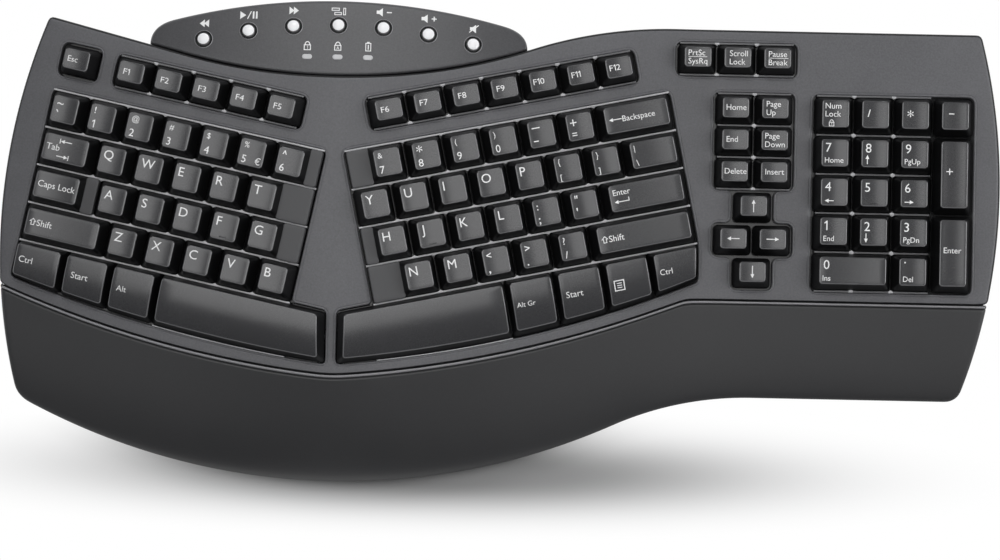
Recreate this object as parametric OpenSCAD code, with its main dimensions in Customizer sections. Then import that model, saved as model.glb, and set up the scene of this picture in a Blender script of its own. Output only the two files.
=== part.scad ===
// Ergonomic split keyboard: a tented deck with two turned key blocks, a numeric pad,
// a curved palm rest along the front and a lens-shaped media panel behind the deck.
// Millimetres. X runs to the right, Y to the back, Z up, and Z = 0 is the desk.

/* [Overall] */
// Width over the bulging sides
overall_w = 484; // [480:1:488]
// Depth from the palm rest to the back of the media panel
overall_d = 232; // [230:0.5:235]
// Where the line between the two key blocks lies, from the middle
split_x = -79.5; // [-80:0.25:-79]
// Height of the deck ridge before it is rounded
apex_z = 36.5; // [36:0.25:37.5]
// Height of the flat deck at the numeric pad
num_z = 16; // [15.5:0.25:16.5]
// Slope of the deck on each side of the ridge, degrees
tent = 7; // [6.8:0.1:7.4]
// Rounding of the ridge
ridge_r = 120; // [100:5:140]
// Rounding of the valley beside the numeric pad
valley_r = 150; // [120:5:160]

/* [Plan curves] */
// Curve of the palm rest front
palm_front_r = 325; // [320:1:330]
// Curve of the left and right sides
side_r = 290; // [280:2:300]
// Widest point of the left side
left_bulge_y = -4.5; // [-8:0.5:0]
// Widest point of the right side
right_bulge_y = 30.5; // [27:0.5:34]
// Front edge in front of the numeric pad
num_front_y = -71.3; // [-73:0.1:-70]
// Hollow curve where the front edge meets the numeric pad
front_hollow_r = 160; // [150:2:170]
// Back edge of the media panel at the split line
panel_back_y = 116; // [115.5:0.25:116.5]
// Palm rest seam at the split line
seam_y = -63.9; // [-64.5:0.1:-63.5]
// Curve of the palm rest seam
seam_r = 310; // [306:1:314]
// Palm rest seam in front of the numeric pad
seam_num_y = -23.8; // [-24.5:0.1:-23.4]
// Hollow curve where the seam turns to the numeric pad
seam_hollow_r = 75; // [65:1:80]
// Back edge behind the numeric pad
back_y = 107; // [106.5:0.1:107.6]
// Where the back edge starts to curve in
back_flat_x = 85.6; // [84:0.2:88]
// Back edge of the deck at the split line
deck_back_y = 79.1; // [78.8:0.1:79.6]
// Hollow curve of the deck back edge
deck_back_r = 285; // [280:1:290]
// Slope of the straight back edge on the left, degrees
back_left_slope = 15; // [14:0.5:16]
// Rounded outer corners
corner_r = 6; // [4:0.5:8]

/* [Key layout] */
// Pitch of the keys in the two blocks
key_pitch = 18.8; // [18.7:0.05:18.85]
// Pitch of the rows in the two blocks
row_pitch = 18.6; // [18.5:0.05:18.65]
// Turn of each block, degrees
block_turn = 12; // [11.8:0.1:12.2]
// Distance of each block from the split line
block_gap = 4.6; // [4.4:0.1:5]
// Back corner of each block at the split line
block_y = 42.7; // [42.3:0.1:43]
// Distance of the function keys from the inner end, in pitches
fkey_start = 0.78; // [0.74:0.01:0.8]
// Distance of the function keys from the number row
fkey_gap = 7.7; // [7.2:0.1:8]
// Depth of a function key cell
fkey_d = 15.3; // [15:0.1:15.6]
// Width of the outer bottom row keys, in pitches
ctrl_u = 1.35; // [1.3:0.01:1.38]
// Width of the inner bottom row keys, in pitches
mod_u = 1.26; // [1.24:0.01:1.28]
// Front edge of the space keys at the split line
space_front_y = -58.9; // [-59.2:0.1:-58.6]
// Curve of the bottom row front edge
space_front_r = 700; // [680:5:720]
// Offset of that curve's centre beyond the split line
space_arc_x = 99; // [96:0.5:101]
// Half of the deck bar between the two space keys
space_gap = 3.2; // [2.8:0.1:3.6]
// Pitch of the numeric pad across
num_pitch_x = 19.25; // [19.1:0.05:19.3]
// Pitch of the numeric pad along
num_pitch_y = 18.9; // [18.7:0.05:19]
// Middle of the numeric pad, across
num_x = 189.5; // [189:0.1:190]
// Middle of the numeric pad, along
num_y = 28.5; // [28.2:0.1:28.8]
// Pitch of the navigation keys across
nav_pitch_x = 19; // [18.8:0.05:19.2]
// Pitch of the navigation keys along
nav_pitch_y = 15.4; // [15.2:0.05:15.5]
// Middle of the navigation keys, across
nav_x = 122; // [121.6:0.1:122.3]
// Middle of the navigation keys, along
nav_y = 52.9; // [52.7:0.1:53.2]
// Middle of the arrow keys, along
arrow_y = 5.1; // [4.9:0.1:5.3]
// Pitch of the arrow keys along
arrow_pitch = 15.9; // [15.8:0.05:16]
// Middle of the system keys, across
sys_x = 113; // [112.8:0.1:113.4]
// Middle of the system keys, along
sys_y = 92.4; // [92.2:0.1:92.6]
// Pitch of the system keys
sys_pitch = 19.2; // [19:0.05:19.3]

/* [Keycaps] */
// Height of a cap above the deck
cap_h = 7.5; // [7:0.1:8]
// How far a skirt reaches below the deck
skirt_drop = 0.5; // [0.3:0.1:0.6]
// Slant of a cap's sides, plan
cap_side = 2.7; // [2.4:0.1:2.9]
// Slant of a cap's back, plan
cap_back = 1.9; // [1.7:0.1:2.2]
// Slant of a cap's front, plan
cap_front = 2.9; // [2.6:0.1:3.1]
// Depth of the dish in a cap's top
dish = 0.6; // [0.4:0.05:0.7]
// Wall of a cap
cap_wall = 1.3; // [1.1:0.1:1.5]
// Height of the low step beside some caps
step_h = 2.4; // [2:0.1:2.8]
// Roll of the bottom row tops toward the front
roll_r = 50; // [48:1:56]
// Gap between two caps
key_gap = 0.8; // [0.7:0.05:0.9]
// Gap between caps and well walls
well_gap = 0.6; // [0.5:0.05:0.7]
// Travel of a key
key_travel = 3.5; // [3.2:0.1:3.5]
// Radius of a key stem
stem_r = 2.6; // [2.4:0.1:2.7]

/* [Cases] */
// Thickness of the deck
deck_t = 2.2; // [2:0.1:2.6]
// Thickness of the outer walls
wall = 2.2; // [2:0.1:2.6]
// Thickness of the well collars
collar_t = 1.2; // [1:0.1:1.4]
// Depth of the wells down to the key plates
well_depth = 4.3; // [4.2:0.1:4.5]
// Height of the joint between the upper and lower cases
joint_z = 8; // [7.6:0.1:8.4]
// Thickness of the bottom case floor
floor_t = 2; // [1.8:0.1:2.2]
// How far the bottom case steps in below the upper case
reveal = 0.8; // [0.6:0.1:1]
// Clearance between pieces that seat on each other
seat_gap = 0.2; // [0.15:0.05:0.3]
// How far the palm rest lies below the deck at the seam
seam_step = 0.5; // [0.3:0.1:0.7]

/* [Key layers] */
// Thickness of the key plates
plate_t = 1.5; // [1.3:0.1:1.6]
// Height of the rubber domes
dome_h = 2.5; // [2.4:0.1:2.6]
// Thickness of the dome sheets
sheet_t = 0.5; // [0.4:0.1:0.6]
// Thickness of the circuit sheets
circuit_t = 0.5; // [0.4:0.1:0.6]
// Thickness of the support plates
support_t = 1; // [0.8:0.1:1]
// Base radius of a rubber dome
dome_r = 5.2; // [5:0.1:5.5]
// Gap between a stem and the bores round it
stem_gap = 0.4; // [0.3:0.05:0.5]

/* [Media panel] */
// Half width of the media panel
panel_half_w = 91; // [90:0.5:92]
// Curve of the media panel back edge
panel_back_r = 315; // [310:1:320]
// Rounded ends of the media panel
panel_end_r = 11; // [9:0.5:12]
// Height of the media panel where it meets the deck
panel_z = 33; // [32.5:0.1:33.5]
// Slope of the media panel to the back, degrees
panel_tilt = 12; // [11:0.5:13]
// Arch of the media panel across
panel_arch_r = 600; // [580:5:640]
// Shadow gap between the deck and the media panel
panel_gap = 0.4; // [0.3:0.05:0.5]
// Pitch of the media buttons
button_pitch = 21.6; // [21:0.1:22]
// Distance of the media buttons from the back edge
button_inset = 12.2; // [11.8:0.1:12.8]
// Radius of a media button
button_r = 3.2; // [3:0.1:3.3]
// How far a media button stands out
button_h = 1.8; // [1.6:0.1:2]
// Travel of a media button
button_travel = 1; // [0.8:0.1:1]
// Radial width of a bezel ring
bezel_w = 0.9; // [0.8:0.05:1]
// Gap between a media button and its bezel ring
button_gap = 0.3; // [0.3:0.05:0.35]
// Pitch of the indicator lenses
lens_pitch = 14.6; // [14:0.1:15]
// Distance of the indicator lenses from the deck
lens_inset = 9.2; // [8.8:0.1:9.6]
// Width of an indicator lens
lens_w = 4.8; // [4.4:0.1:5]
// Depth of an indicator lens
lens_d = 2.5; // [2.3:0.1:2.7]
// Depth of the media board below the panel at its middle
board_drop = 6; // [5.6:0.1:6.4]
// Thickness of the media board
board_t = 1.6; // [1.4:0.1:1.6]

/* [Underside] */
// Height of the rubber feet
foot_h = 2; // [1.8:0.1:2.2]
// Radius of the rubber feet
foot_r = 6; // [5:0.5:7]
// Radius of the support posts and screw bosses
post_r = 3.2; // [3:0.1:3.3]
// Radius of the screw shanks
screw_r = 1.4; // [1.3:0.05:1.45]
// Radius of the screw heads
screw_head_r = 2.5; // [2.4:0.05:2.6]
// Length of the screws
screw_l = 8; // [6:0.5:9]
// Length of a battery cell
cell_l = 50.5; // [50:0.1:51]
// Radius of a battery cell
cell_r = 7.1; // [7:0.05:7.15]
// Middle of the battery bay, along
bay_y = 8; // [6:0.5:10]
// Wall of the battery bay
bay_wall = 1.5; // [1.3:0.1:1.6]
// Width of a folding foot
flip_w = 30; // [28:0.5:32]
// Length of a folding foot
flip_l = 13; // [12:0.5:14]
// Thickness of a folding foot
flip_t = 3; // [2.8:0.1:3]

/* [Hidden] */
$fn = 48;
smooth_fn = 240;
side_left = -1;
side_right = 1;
eps = 0.01;
tall = 60;
wide = 400;
tent_tan = tan(tent);
valley_x = split_x + (apex_z - num_z) / tent_tan;
palm_front_y = panel_back_y - overall_d;
front_cy = palm_front_y + palm_front_r;
front_hollow_cy = num_front_y - front_hollow_r;
front_hollow_x = split_x + sqrt(pow(palm_front_r + front_hollow_r, 2) - pow(front_cy - front_hollow_cy, 2));
front_turn_x = split_x + (front_hollow_x - split_x) * palm_front_r / (palm_front_r + front_hollow_r);
seam_cy = seam_y + seam_r;
seam_hollow_cy = seam_num_y - seam_hollow_r;
seam_hollow_x = split_x + sqrt(pow(seam_r + seam_hollow_r, 2) - pow(seam_cy - seam_hollow_cy, 2));
seam_turn_x = split_x + (seam_hollow_x - split_x) * seam_r / (seam_r + seam_hollow_r);
deck_back_cy = deck_back_y + deck_back_r;
back_rise = deck_back_cy - back_y;
back_run = back_flat_x - split_x;
back_r = (pow(back_run, 2) + pow(back_rise, 2) - pow(deck_back_r, 2)) / (2 * (deck_back_r - back_rise));
back_turn_x = split_x + back_run * deck_back_r / (deck_back_r + back_r);
back_left_x = split_x - deck_back_r * sin(back_left_slope);
back_left_y = deck_back_cy - deck_back_r * cos(back_left_slope);
left_bulge_x = side_r - overall_w / 2;
plan_step = 6;
left_u = 7.25;
right_u = 8.5;
left_rows = [
    [1, 1, 1, 1, 1, 1, 1.25],
    [1.5, 1, 1, 1, 1, 1.75],
    [1.75, 1, 1, 1, 1, 1.5],
    [2.25, 1, 1, 1, 1, 1]];
right_rows = [
    [1.5, 1, 1, 1, 1, 1, 2],
    [1, 1, 1, 1, 1, 1, 1, 1.5],
    [1.25, 1, 1, 1, 1, 1, 2.25],
    [1.75, 1, 1, 1, 1, 2.75]];
left_steps = [1, 1, 1, 0];
right_steps = [1, 0, 1, 1];
caps_step = 0.4;
row_count = 4;
left_mods = 2;
right_mods = 3;
low_y = -row_count * row_pitch;
low_depth = 36;
low_side = 1.4;
roll_over = 1;
low_stem_y = 9.6;
home_row = 2;
left_home = 4;
right_home = 1;
pad_home = 4;
bar_w = 3.6;
bar_d = 0.7;
bar_h = 0.35;
bar_inset = 1.3;
num_cols = 4;
num_rows = 5;
dome_taper = 1;
left_fkeys = 5;
right_fkeys = 7;
space_cy = space_front_y + sqrt(pow(space_front_r, 2) - pow(space_arc_x + space_gap, 2));
block_z = apex_z - block_gap * tent_tan;
plate_z = -well_depth - plate_t;
sheet_z = plate_z - dome_h - sheet_t;
circuit_z = sheet_z - circuit_t;
support_z = circuit_z - support_t;
stem_end = sheet_z + key_travel + 2 * seat_gap;
bore_r = stem_r + stem_gap;
well_corner = 1.5;
cap_corner = 2;
cap_top_corner = 1.6;
boss_sink = 0.75 * wall;
floor_z = foot_h + floor_t;
panel_cy = panel_back_y - panel_back_r;
button_arc_r = panel_back_r - button_inset;
board_half_w = 74;
board_post = 2.5;
lens_proud = 0.3;
board_z = -deck_t - board_drop;
cell_gap = 0.3;
nub_r = 2.6;
nub_l = 1.5;
contact_t = 0.5;
contact_inset = 2;
bay_w = cell_l + 2 * (contact_t + 1);
bay_d = 4 * cell_r + 2 * (cell_gap + 2 * seat_gap);
bay_top_z = floor_z + 2 * cell_r + 4 * seat_gap;
door_gap = 0.3;
pin_r = 0.6;
barrel_r = floor_t / 2;
flip_left = [-188, 84];
flip_right = [202, 93];
foot_inset = 12;
foot_spots = concat(
    [for (x = [-218, split_x, 60, 206]) [x, front_y(x) + foot_inset]],
    [[-212, rear_y(-212) - foot_inset], [218, 64]]);
left_posts = [[-118, -8], [-118, -62], [-62, -34], [-62, 14]];
right_posts = [[62, 14], [62, -34], [132, 14], [128, -52]];
num_posts = [[146, 16], [146, 60], [216, -6], [222, 66]];
deck_bosses = [[split_x, 62], [-226, 62], [75, 93], [94, 50], [235, 30], [226, 95]];
palm_bosses = [for (x = [-215, split_x, 40, 150, 220]) [x, (palm_seam_y(x) + front_y(x)) / 2]];

// Plan curves

function front_y(x) =
    x < front_turn_x ? front_cy - sqrt(pow(palm_front_r, 2) - pow(x - split_x, 2))
    : x < front_hollow_x ? front_hollow_cy + sqrt(pow(front_hollow_r, 2) - pow(front_hollow_x - x, 2))
    : num_front_y;

function palm_seam_y(x) =
    x < seam_turn_x ? seam_cy - sqrt(pow(seam_r, 2) - pow(x - split_x, 2))
    : x < seam_hollow_x ? seam_hollow_cy + sqrt(pow(seam_hollow_r, 2) - pow(seam_hollow_x - x, 2))
    : seam_num_y;

function rear_y(x) =
    x < back_left_x ? back_left_y + (back_left_x - x) * tan(back_left_slope)
    : x < back_turn_x ? deck_back_cy - sqrt(pow(deck_back_r, 2) - pow(x - split_x, 2))
    : x < back_flat_x ? back_y - back_r + sqrt(pow(back_r, 2) - pow(back_flat_x - x, 2))
    : back_y;

function left_x(y) = left_bulge_x - sqrt(pow(side_r, 2) - pow(y - left_bulge_y, 2));
function right_x(y) = -left_bulge_x + sqrt(pow(side_r, 2) - pow(y - right_bulge_y, 2));

function deck_z(x) =
    let (a = abs(x - split_x), r0 = ridge_r * sin(tent), v = valley_x - x, v0 = valley_r * tan(tent / 2))
    a < r0 ? apex_z - r0 * tent_tan + sqrt(pow(ridge_r, 2) - a * a) - ridge_r * cos(tent)
    : v < -v0 ? num_z
    : v < v0 ? num_z + valley_r - sqrt(pow(valley_r, 2) - pow(v + v0, 2))
    : apex_z - a * tent_tan;

function plan_stations() =
    let (n = ceil(overall_w / 2 / plan_step))
    [for (i = [-n : n]) i * plan_step];

module all_plan() {
    intersection() {
        polygon(concat(
            [for (x = plan_stations()) [x, front_y(x)]],
            [for (x = plan_stations()) [-x, rear_y(-x)]]));
        polygon(concat(
            [for (y = [palm_front_y - plan_step : plan_step : panel_back_y]) [right_x(y), y]],
            [for (y = [panel_back_y : -plan_step : palm_front_y - plan_step]) [left_x(y), y]]));
    }
}

module rounded(r) {
    offset(r = r)
        offset(delta = -r)
            children();
}

module case_plan() {
    rounded(corner_r)
        all_plan();
}

// The part of the plan in front of the seam.
module seam_front() {
    polygon(concat(
        [for (x = plan_stations()) [x, palm_seam_y(x)]],
        [[overall_w, -overall_d], [-overall_w, -overall_d]]));
}

module deck_plan() {
    difference() {
        case_plan();
        seam_front();
    }
}

// The lens outline of the media panel, run on below the deck.
module lens_plan() {
    rounded(panel_end_r)
        intersection() {
            translate([split_x, panel_cy])
                circle(r = panel_back_r, $fn = smooth_fn);
            translate([split_x - panel_half_w, 0])
                square([2 * panel_half_w, overall_d]);
        }
}

module panel_plan() {
    x0 = split_x - 2 * panel_half_w;
    x1 = split_x + 2 * panel_half_w;
    difference() {
        lens_plan();
        polygon(concat(
            [for (x = [x0 : plan_step : x1]) [x, rear_y(x) + panel_gap]],
            [[x1, -overall_d], [x0, -overall_d]]));
    }
}

module whole_plan() {
    case_plan();
    lens_plan();
}

// Frames: the two tilted blocks, the flat pad and the media panel

module on_block(side) {
    translate([split_x + side * block_gap, block_y, block_z])
        rotate([0, side * tent, 0])
            rotate([0, 0, side * block_turn])
                children();
}

module on_pad(x, y) {
    translate([x, y, num_z])
        children();
}

module on_panel() {
    translate([split_x, deck_back_y, panel_z])
        rotate([-panel_tilt, 0, 0])
            children();
}

module slab(z0, z1) {
    translate([-wide, -wide, z0])
        cube([2 * wide, 2 * wide, z1 - z0]);
}

// Deck body: the tent profile run front to back

module deck_solid(drop) {
    translate([0, wide, 0])
        rotate([90, 0, 0])
            linear_extrude(height = 2 * wide)
                polygon(concat([for (x = deck_stations()) [x, deck_z(x) - drop]], [[wide, 0], [-wide, 0]]));
}

function deck_stations() = concat(
    [-wide],
    [for (i = [-7 : 7]) split_x + ridge_r * sin(tent * i / 7)],
    [for (i = [-4 : 4]) valley_x + valley_r * tan(tent / 2) * i / 4],
    [wide]);

// Wells: 2D cells in each frame, grown by grow

module block_cells(side, grow) {
    g = well_gap + grow;
    w = (side < 0 ? left_u : right_u) * key_pitch;
    x0 = side < 0 ? -w : 0;
    rounded(well_corner)
        translate([x0 - g, low_y - row_pitch / 2])
            square([w + 2 * g, -low_y + row_pitch / 2 + g]);
}

module fkey_cells(side, grow) {
    g = well_gap + grow;
    w = (side < 0 ? left_fkeys : right_fkeys) * key_pitch;
    x0 = side < 0 ? -fkey_start * key_pitch - w : fkey_start * key_pitch;
    rounded(well_corner)
        translate([x0 - g, fkey_gap - g])
            square([w + 2 * g, fkey_d + 2 * g]);
}

module esc_cell(grow) {
    g = well_gap + grow;
    rounded(well_corner)
        translate([-left_u * key_pitch - g, fkey_gap - g])
            square([key_pitch + 2 * g, fkey_d + 2 * g]);
}

module cell_box(cols, rows, px, py, grow) {
    g = 2 * (well_gap + grow);
    rounded(well_corner)
        square([cols * px + g, rows * py + g], center = true);
}

module pad_cells(grow) {
    translate([num_x, num_y])
        cell_box(4, 5, num_pitch_x, num_pitch_y, grow);
    translate([sys_x, sys_y])
        cell_box(3, 1, sys_pitch, fkey_d, grow);
    translate([nav_x, nav_y])
        cell_box(2, 3, nav_pitch_x, nav_pitch_y, grow);
    translate([nav_x, arrow_y])
        cell_box(2, 1, nav_pitch_x, nav_pitch_y, grow);
    translate([nav_x, (arrow_y - arrow_pitch + nav_y) / 2])
        cell_box(1, 1, nav_pitch_x, nav_y - arrow_y + arrow_pitch + nav_pitch_y, grow);
}

// The bottom row reaches the curved front edge and stops short of the split line.
module low_limit(side, grow) {
    intersection() {
        translate([split_x - side * space_arc_x, space_cy, 0])
            cylinder(r = space_front_r + grow, h = tall, $fn = smooth_fn);
        translate([side < 0 ? split_x - space_gap + grow - wide : split_x + space_gap - grow, -wide, 0])
            cube([wide, 2 * wide, tall]);
    }
}

module low_cells(side, grow, z0, z1) {
    g = well_gap + grow;
    w = (side < 0 ? left_u : right_u) * key_pitch;
    intersection() {
        on_block(side)
            translate([side < 0 ? -w - g : -wide / 8, low_y - low_depth, z0])
                cube([w + g + wide / 8, low_depth + g, z1 - z0]);
        low_limit(side, grow);
    }
}

module block_wells(side, grow, z0, z1) {
    on_block(side)
        translate([0, 0, z0])
            linear_extrude(height = z1 - z0) {
                block_cells(side, grow);
                fkey_cells(side, grow);
                if (side < 0)
                    esc_cell(grow);
            }
    low_cells(side, grow, z0, z1);
}

module wells(grow, z0, z1) {
    block_wells(side_left, grow, z0, z1);
    block_wells(side_right, grow, z0, z1);
    on_pad(0, 0)
        translate([0, 0, z0])
            linear_extrude(height = z1 - z0)
                pad_cells(grow);
}

module top_case() {
    color([0.2, 0.2, 0.21])
        difference() {
            union() {
                difference() {
                    intersection() {
                        deck_solid(0);
                        translate([0, 0, joint_z])
                            linear_extrude(height = tall)
                                deck_plan();
                    }
                    intersection() {
                        deck_solid(deck_t);
                        linear_extrude(height = tall)
                            offset(delta = -wall)
                                deck_plan();
                    }
                }
                intersection() {
                    wells(collar_t, -well_depth, -deck_t / 2);
                    deck_solid(deck_t / 2);
                    linear_extrude(height = tall)
                        offset(delta = -wall / 2)
                            deck_plan();
                }
                for (s = deck_bosses)
                    boss(s, deck_z(s[0]) - deck_t / 2);
            }
            wells(0, -well_depth - eps, tall / 4);
            screw_holes(deck_bosses);
        }
}

// A screw boss that stands on the floor of the bottom case and reaches up to z1.
module boss(s, z1) {
    translate([s[0], s[1], floor_z])
        cylinder(r = post_r, h = z1 - floor_z);
}

module screw_holes(spots) {
    for (s = spots)
        translate([s[0], s[1], foot_h - eps])
            cylinder(r = screw_r + seat_gap / 2, h = screw_l + seat_gap);
}

// Palm rest: a rolled section between the seam and the front edge, run from left to right

palm_steps = 8;
palm_slope = 0.55;
function palm_roll(w) = palm_slope * (1 - w) + (1 - palm_slope) * sqrt(1 - pow(w, 4));
function palm_z(x, y) =
    let (w = (palm_seam_y(x) - seat_gap - y) / (palm_seam_y(x) - seat_gap - front_y(x)))
    joint_z + (deck_z(x) - seam_step - joint_z) * palm_roll(w);

function palm_section(x, inset) =
    let (y0 = palm_seam_y(x) - seat_gap - inset, y1 = front_y(x) + inset,
         top = deck_z(x) - seam_step - inset, low = joint_z - inset / 2)
    concat([[x, y0, low - inset]],
        [for (i = [0 : palm_steps])
            let (w = sin(90 * i / palm_steps)) [x, y0 + (y1 - y0) * w, low + (top - low) * palm_roll(w)]],
        inset > 0 ? [[x, y1, low - inset]] : []);

module palm_loft(inset) {
    half = overall_w / 2;
    xs = [for (i = [0 : 2 * round(half / 9)]) -half + i * half / round(half / 9)];
    sections = [for (x = xs) palm_section(x, inset)];
    n = len(sections[0]);
    m = len(xs);
    polyhedron(
        points = [for (s = sections) each s],
        faces = concat(
            [[for (i = [0 : n - 1]) i]],
            [[for (i = [n - 1 : -1 : 0]) (m - 1) * n + i]],
            [for (k = [0 : m - 2]) for (i = [0 : n - 1])
                let (j = (i + 1) % n) [k * n + i, (k + 1) * n + i, (k + 1) * n + j]],
            [for (k = [0 : m - 2]) for (i = [0 : n - 1])
                let (j = (i + 1) % n) [k * n + i, (k + 1) * n + j, k * n + j]]));
}

module palm_rest() {
    color([0.13, 0.13, 0.14])
        difference() {
            union() {
                difference() {
                    intersection() {
                        palm_loft(0);
                        linear_extrude(height = tall)
                            case_plan();
                    }
                    intersection() {
                        palm_loft(wall);
                        linear_extrude(height = tall)
                            offset(delta = -wall)
                                case_plan();
                    }
                }
                for (s = palm_bosses)
                    boss(s, palm_z(s[0], s[1]) - boss_sink);
            }
            screw_holes(palm_bosses);
        }
}

// Media panel

module panel_solid(drop) {
    on_panel()
        translate([0, wide / 2, -panel_arch_r])
            rotate([90, 0, 0])
                cylinder(r = panel_arch_r - drop, h = wide, $fn = smooth_fn);
}

function button_x(i) = i * button_pitch;
function button_y(i) =
    (panel_cy + sqrt(pow(button_arc_r, 2) - pow(button_x(i), 2)) - deck_back_y) / cos(panel_tilt);
function arch_z(x) = sqrt(pow(panel_arch_r, 2) - x * x) - panel_arch_r;

module on_button(i) {
    on_panel()
        translate([button_x(i), button_y(i), arch_z(button_x(i))])
            rotate([0, asin(button_x(i) / panel_arch_r), 0])
                children();
}

module lens_slot(i, grow, z0, z1) {
    on_panel()
        translate([i * lens_pitch, lens_inset / cos(panel_tilt), z0])
            linear_extrude(height = z1 - z0)
                hull() {
                    translate([(lens_d - lens_w) / 2, 0])
                        circle(d = lens_d + 2 * grow);
                    translate([(lens_w - lens_d) / 2, 0])
                        circle(d = lens_d + 2 * grow);
                }
}

module board_posts() {
    intersection() {
        on_panel()
            for (i = [-board_post, board_post])
                translate([button_x(i), button_y(i), board_z])
                    cylinder(r = post_r, h = tall / 4);
        panel_solid(deck_t / 2);
    }
}

module media_panel() {
    color([0.2, 0.2, 0.21])
        difference() {
            union() {
                difference() {
                    intersection() {
                        panel_solid(0);
                        translate([0, 0, joint_z])
                            linear_extrude(height = tall)
                                panel_plan();
                    }
                    intersection() {
                        panel_solid(deck_t);
                        linear_extrude(height = tall)
                            offset(delta = -wall)
                                panel_plan();
                    }
                }
                board_posts();
            }
            for (i = [-3 : 3])
                on_button(i)
                    translate([0, 0, -tall / 8])
                        cylinder(r = button_r + button_gap + bezel_w, h = tall / 4);
            for (i = [-1 : 1])
                lens_slot(i, seat_gap / 2, -tall / 8, tall / 8);
        }
}

// The board follows the panel's outline, inside its walls.
module media_board() {
    color([0.1, 0.3, 0.16])
        intersection() {
            on_panel()
                translate([-board_half_w, -wide / 2, board_z - board_t])
                    cube([2 * board_half_w, wide, board_t]);
            linear_extrude(height = tall)
                offset(delta = -wall - seat_gap)
                    panel_plan();
        }
}

module button_bezels() {
    color([0.05, 0.05, 0.055])
        for (i = [-3 : 3])
            on_button(i)
                translate([0, 0, -deck_t])
                    difference() {
                        cylinder(r = button_r + button_gap + bezel_w, h = deck_t + button_h / 4);
                        translate([0, 0, -eps])
                            cylinder(r = button_r + button_gap, h = 2 * deck_t);
                    }
}

module indicator_lenses() {
    color([0.85, 0.85, 0.86])
        for (i = [-1 : 1])
            lens_slot(i, 0, -deck_t, lens_proud);
}

module media_button(i) {
    depth = board_drop + arch_z(button_x(i));
    ball_r = (pow(button_r, 2) + pow(button_h, 2)) / (2 * button_h);
    color([0.93, 0.93, 0.93])
        on_button(i) {
            intersection() {
                translate([0, 0, -deck_t])
                    cylinder(r = button_r, h = deck_t + button_h);
                translate([0, 0, button_h - ball_r])
                    sphere(r = ball_r);
            }
            translate([0, 0, -deck_t - depth + button_travel + 2 * seat_gap])
                cylinder(r = button_r / 2, h = depth - button_travel);
        }
}

module button_rewind() {
    media_button(-3);
}

module button_play_pause() {
    media_button(-2);
}

module button_forward() {
    media_button(-1);
}

module button_device() {
    media_button(0);
}

module button_volume_down() {
    media_button(1);
}

module button_volume_up() {
    media_button(2);
}

module button_mute() {
    media_button(3);
}

// Keycaps

// Twelve points round a rectangle with rounded corners.
function ring(w, d, r, y, z) = [for (q = [0 : 3]) for (a = [0, 45, 90])
    [(q == 0 || q == 3 ? w / 2 - r : r - w / 2) + r * cos(90 * q + a),
     y + (q < 2 ? d / 2 - r : r - d / 2) + r * sin(90 * q + a), z]];

module frustum(w, d, z0, z1, side, front, back, r0, r1) {
    n = 12;
    polyhedron(
        points = concat(
            ring(w, d, r0, 0, z0),
            ring(w - 2 * side, d - front - back, r1, (front - back) / 2, z1)),
        faces = concat(
            [[for (i = [0 : n - 1]) i], [for (i = [n - 1 : -1 : 0]) n + i]],
            [for (i = [0 : n - 1]) [i, n + i, n + (i + 1) % n, (i + 1) % n]]));
}

module pyramid(w, d, z0, z1, side, front, back) {
    x = w / 2;
    y = d / 2;
    polyhedron(
        points = [[-x, -y, z0], [x, -y, z0], [x, y, z0], [-x, y, z0],
            [side - x, front - y, z1], [x - side, front - y, z1],
            [x - side, y - back, z1], [side - x, y - back, z1]],
        faces = [[0, 1, 2, 3], [7, 6, 5, 4], [0, 4, 5, 1], [1, 5, 6, 2], [2, 6, 7, 3], [3, 7, 4, 0]]);
}

module stem(z1) {
    translate([0, 0, stem_end])
        cylinder(r = stem_r, h = z1 - stem_end);
}

// One cap on a cell of w by d, with its origin in the middle of the cell.
// step_l and step_r are the widths of the low steps at its ends.
module keycap(w, d, step_l = 0, step_r = 0, bar = false) {
    cap_w = w - step_l - step_r - key_gap;
    cap_x = (step_l - step_r) / 2;
    top_w = cap_w - 2 * cap_side;
    dish_r = (top_w * top_w / 4 + dish * dish) / (2 * dish);
    base_d = d - key_gap;
    difference() {
        union() {
            translate([cap_x, 0, 0])
                difference() {
                    frustum(cap_w, base_d, -skirt_drop, cap_h, cap_side, cap_front, cap_back,
                        cap_corner, cap_top_corner);
                    translate([0, 0, cap_h + dish_r - dish])
                        rotate([90, 0, 0])
                            cylinder(r = dish_r, h = d, center = true, $fn = smooth_fn);
                }
            if (step_l + step_r > 0)
                translate([0, 0, -skirt_drop])
                    linear_extrude(height = skirt_drop + step_h)
                        rounded(cap_top_corner)
                            square([w - key_gap, base_d], center = true);
        }
        translate([cap_x, 0, 0])
            pyramid(cap_w - 2 * cap_wall, base_d - 2 * cap_wall, -skirt_drop - eps, cap_h - dish - cap_wall,
                cap_side, cap_front, cap_back);
    }
    translate([cap_x, 0, 0])
        stem(cap_h - dish - cap_wall / 2);
    if (bar)
        home_bar(cap_x, base_d);
}

// The small bar that a forefinger feels, near the front of a cap's top.
module home_bar(cap_x, base_d) {
    translate([cap_x - bar_w / 2, cap_front + bar_inset - base_d / 2, cap_h - dish - cap_wall / 2])
        cube([bar_w, bar_d, cap_wall / 2 + bar_h]);
}

function sum_to(v, n) = n <= 0 ? 0 : v[n - 1] + sum_to(v, n - 1);
function rows_of(side) = side < 0 ? left_rows : right_rows;
function cell_u(side, row, i) = (side < 0 ? -left_u : 0) + sum_to(rows_of(side)[row], i);

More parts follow.
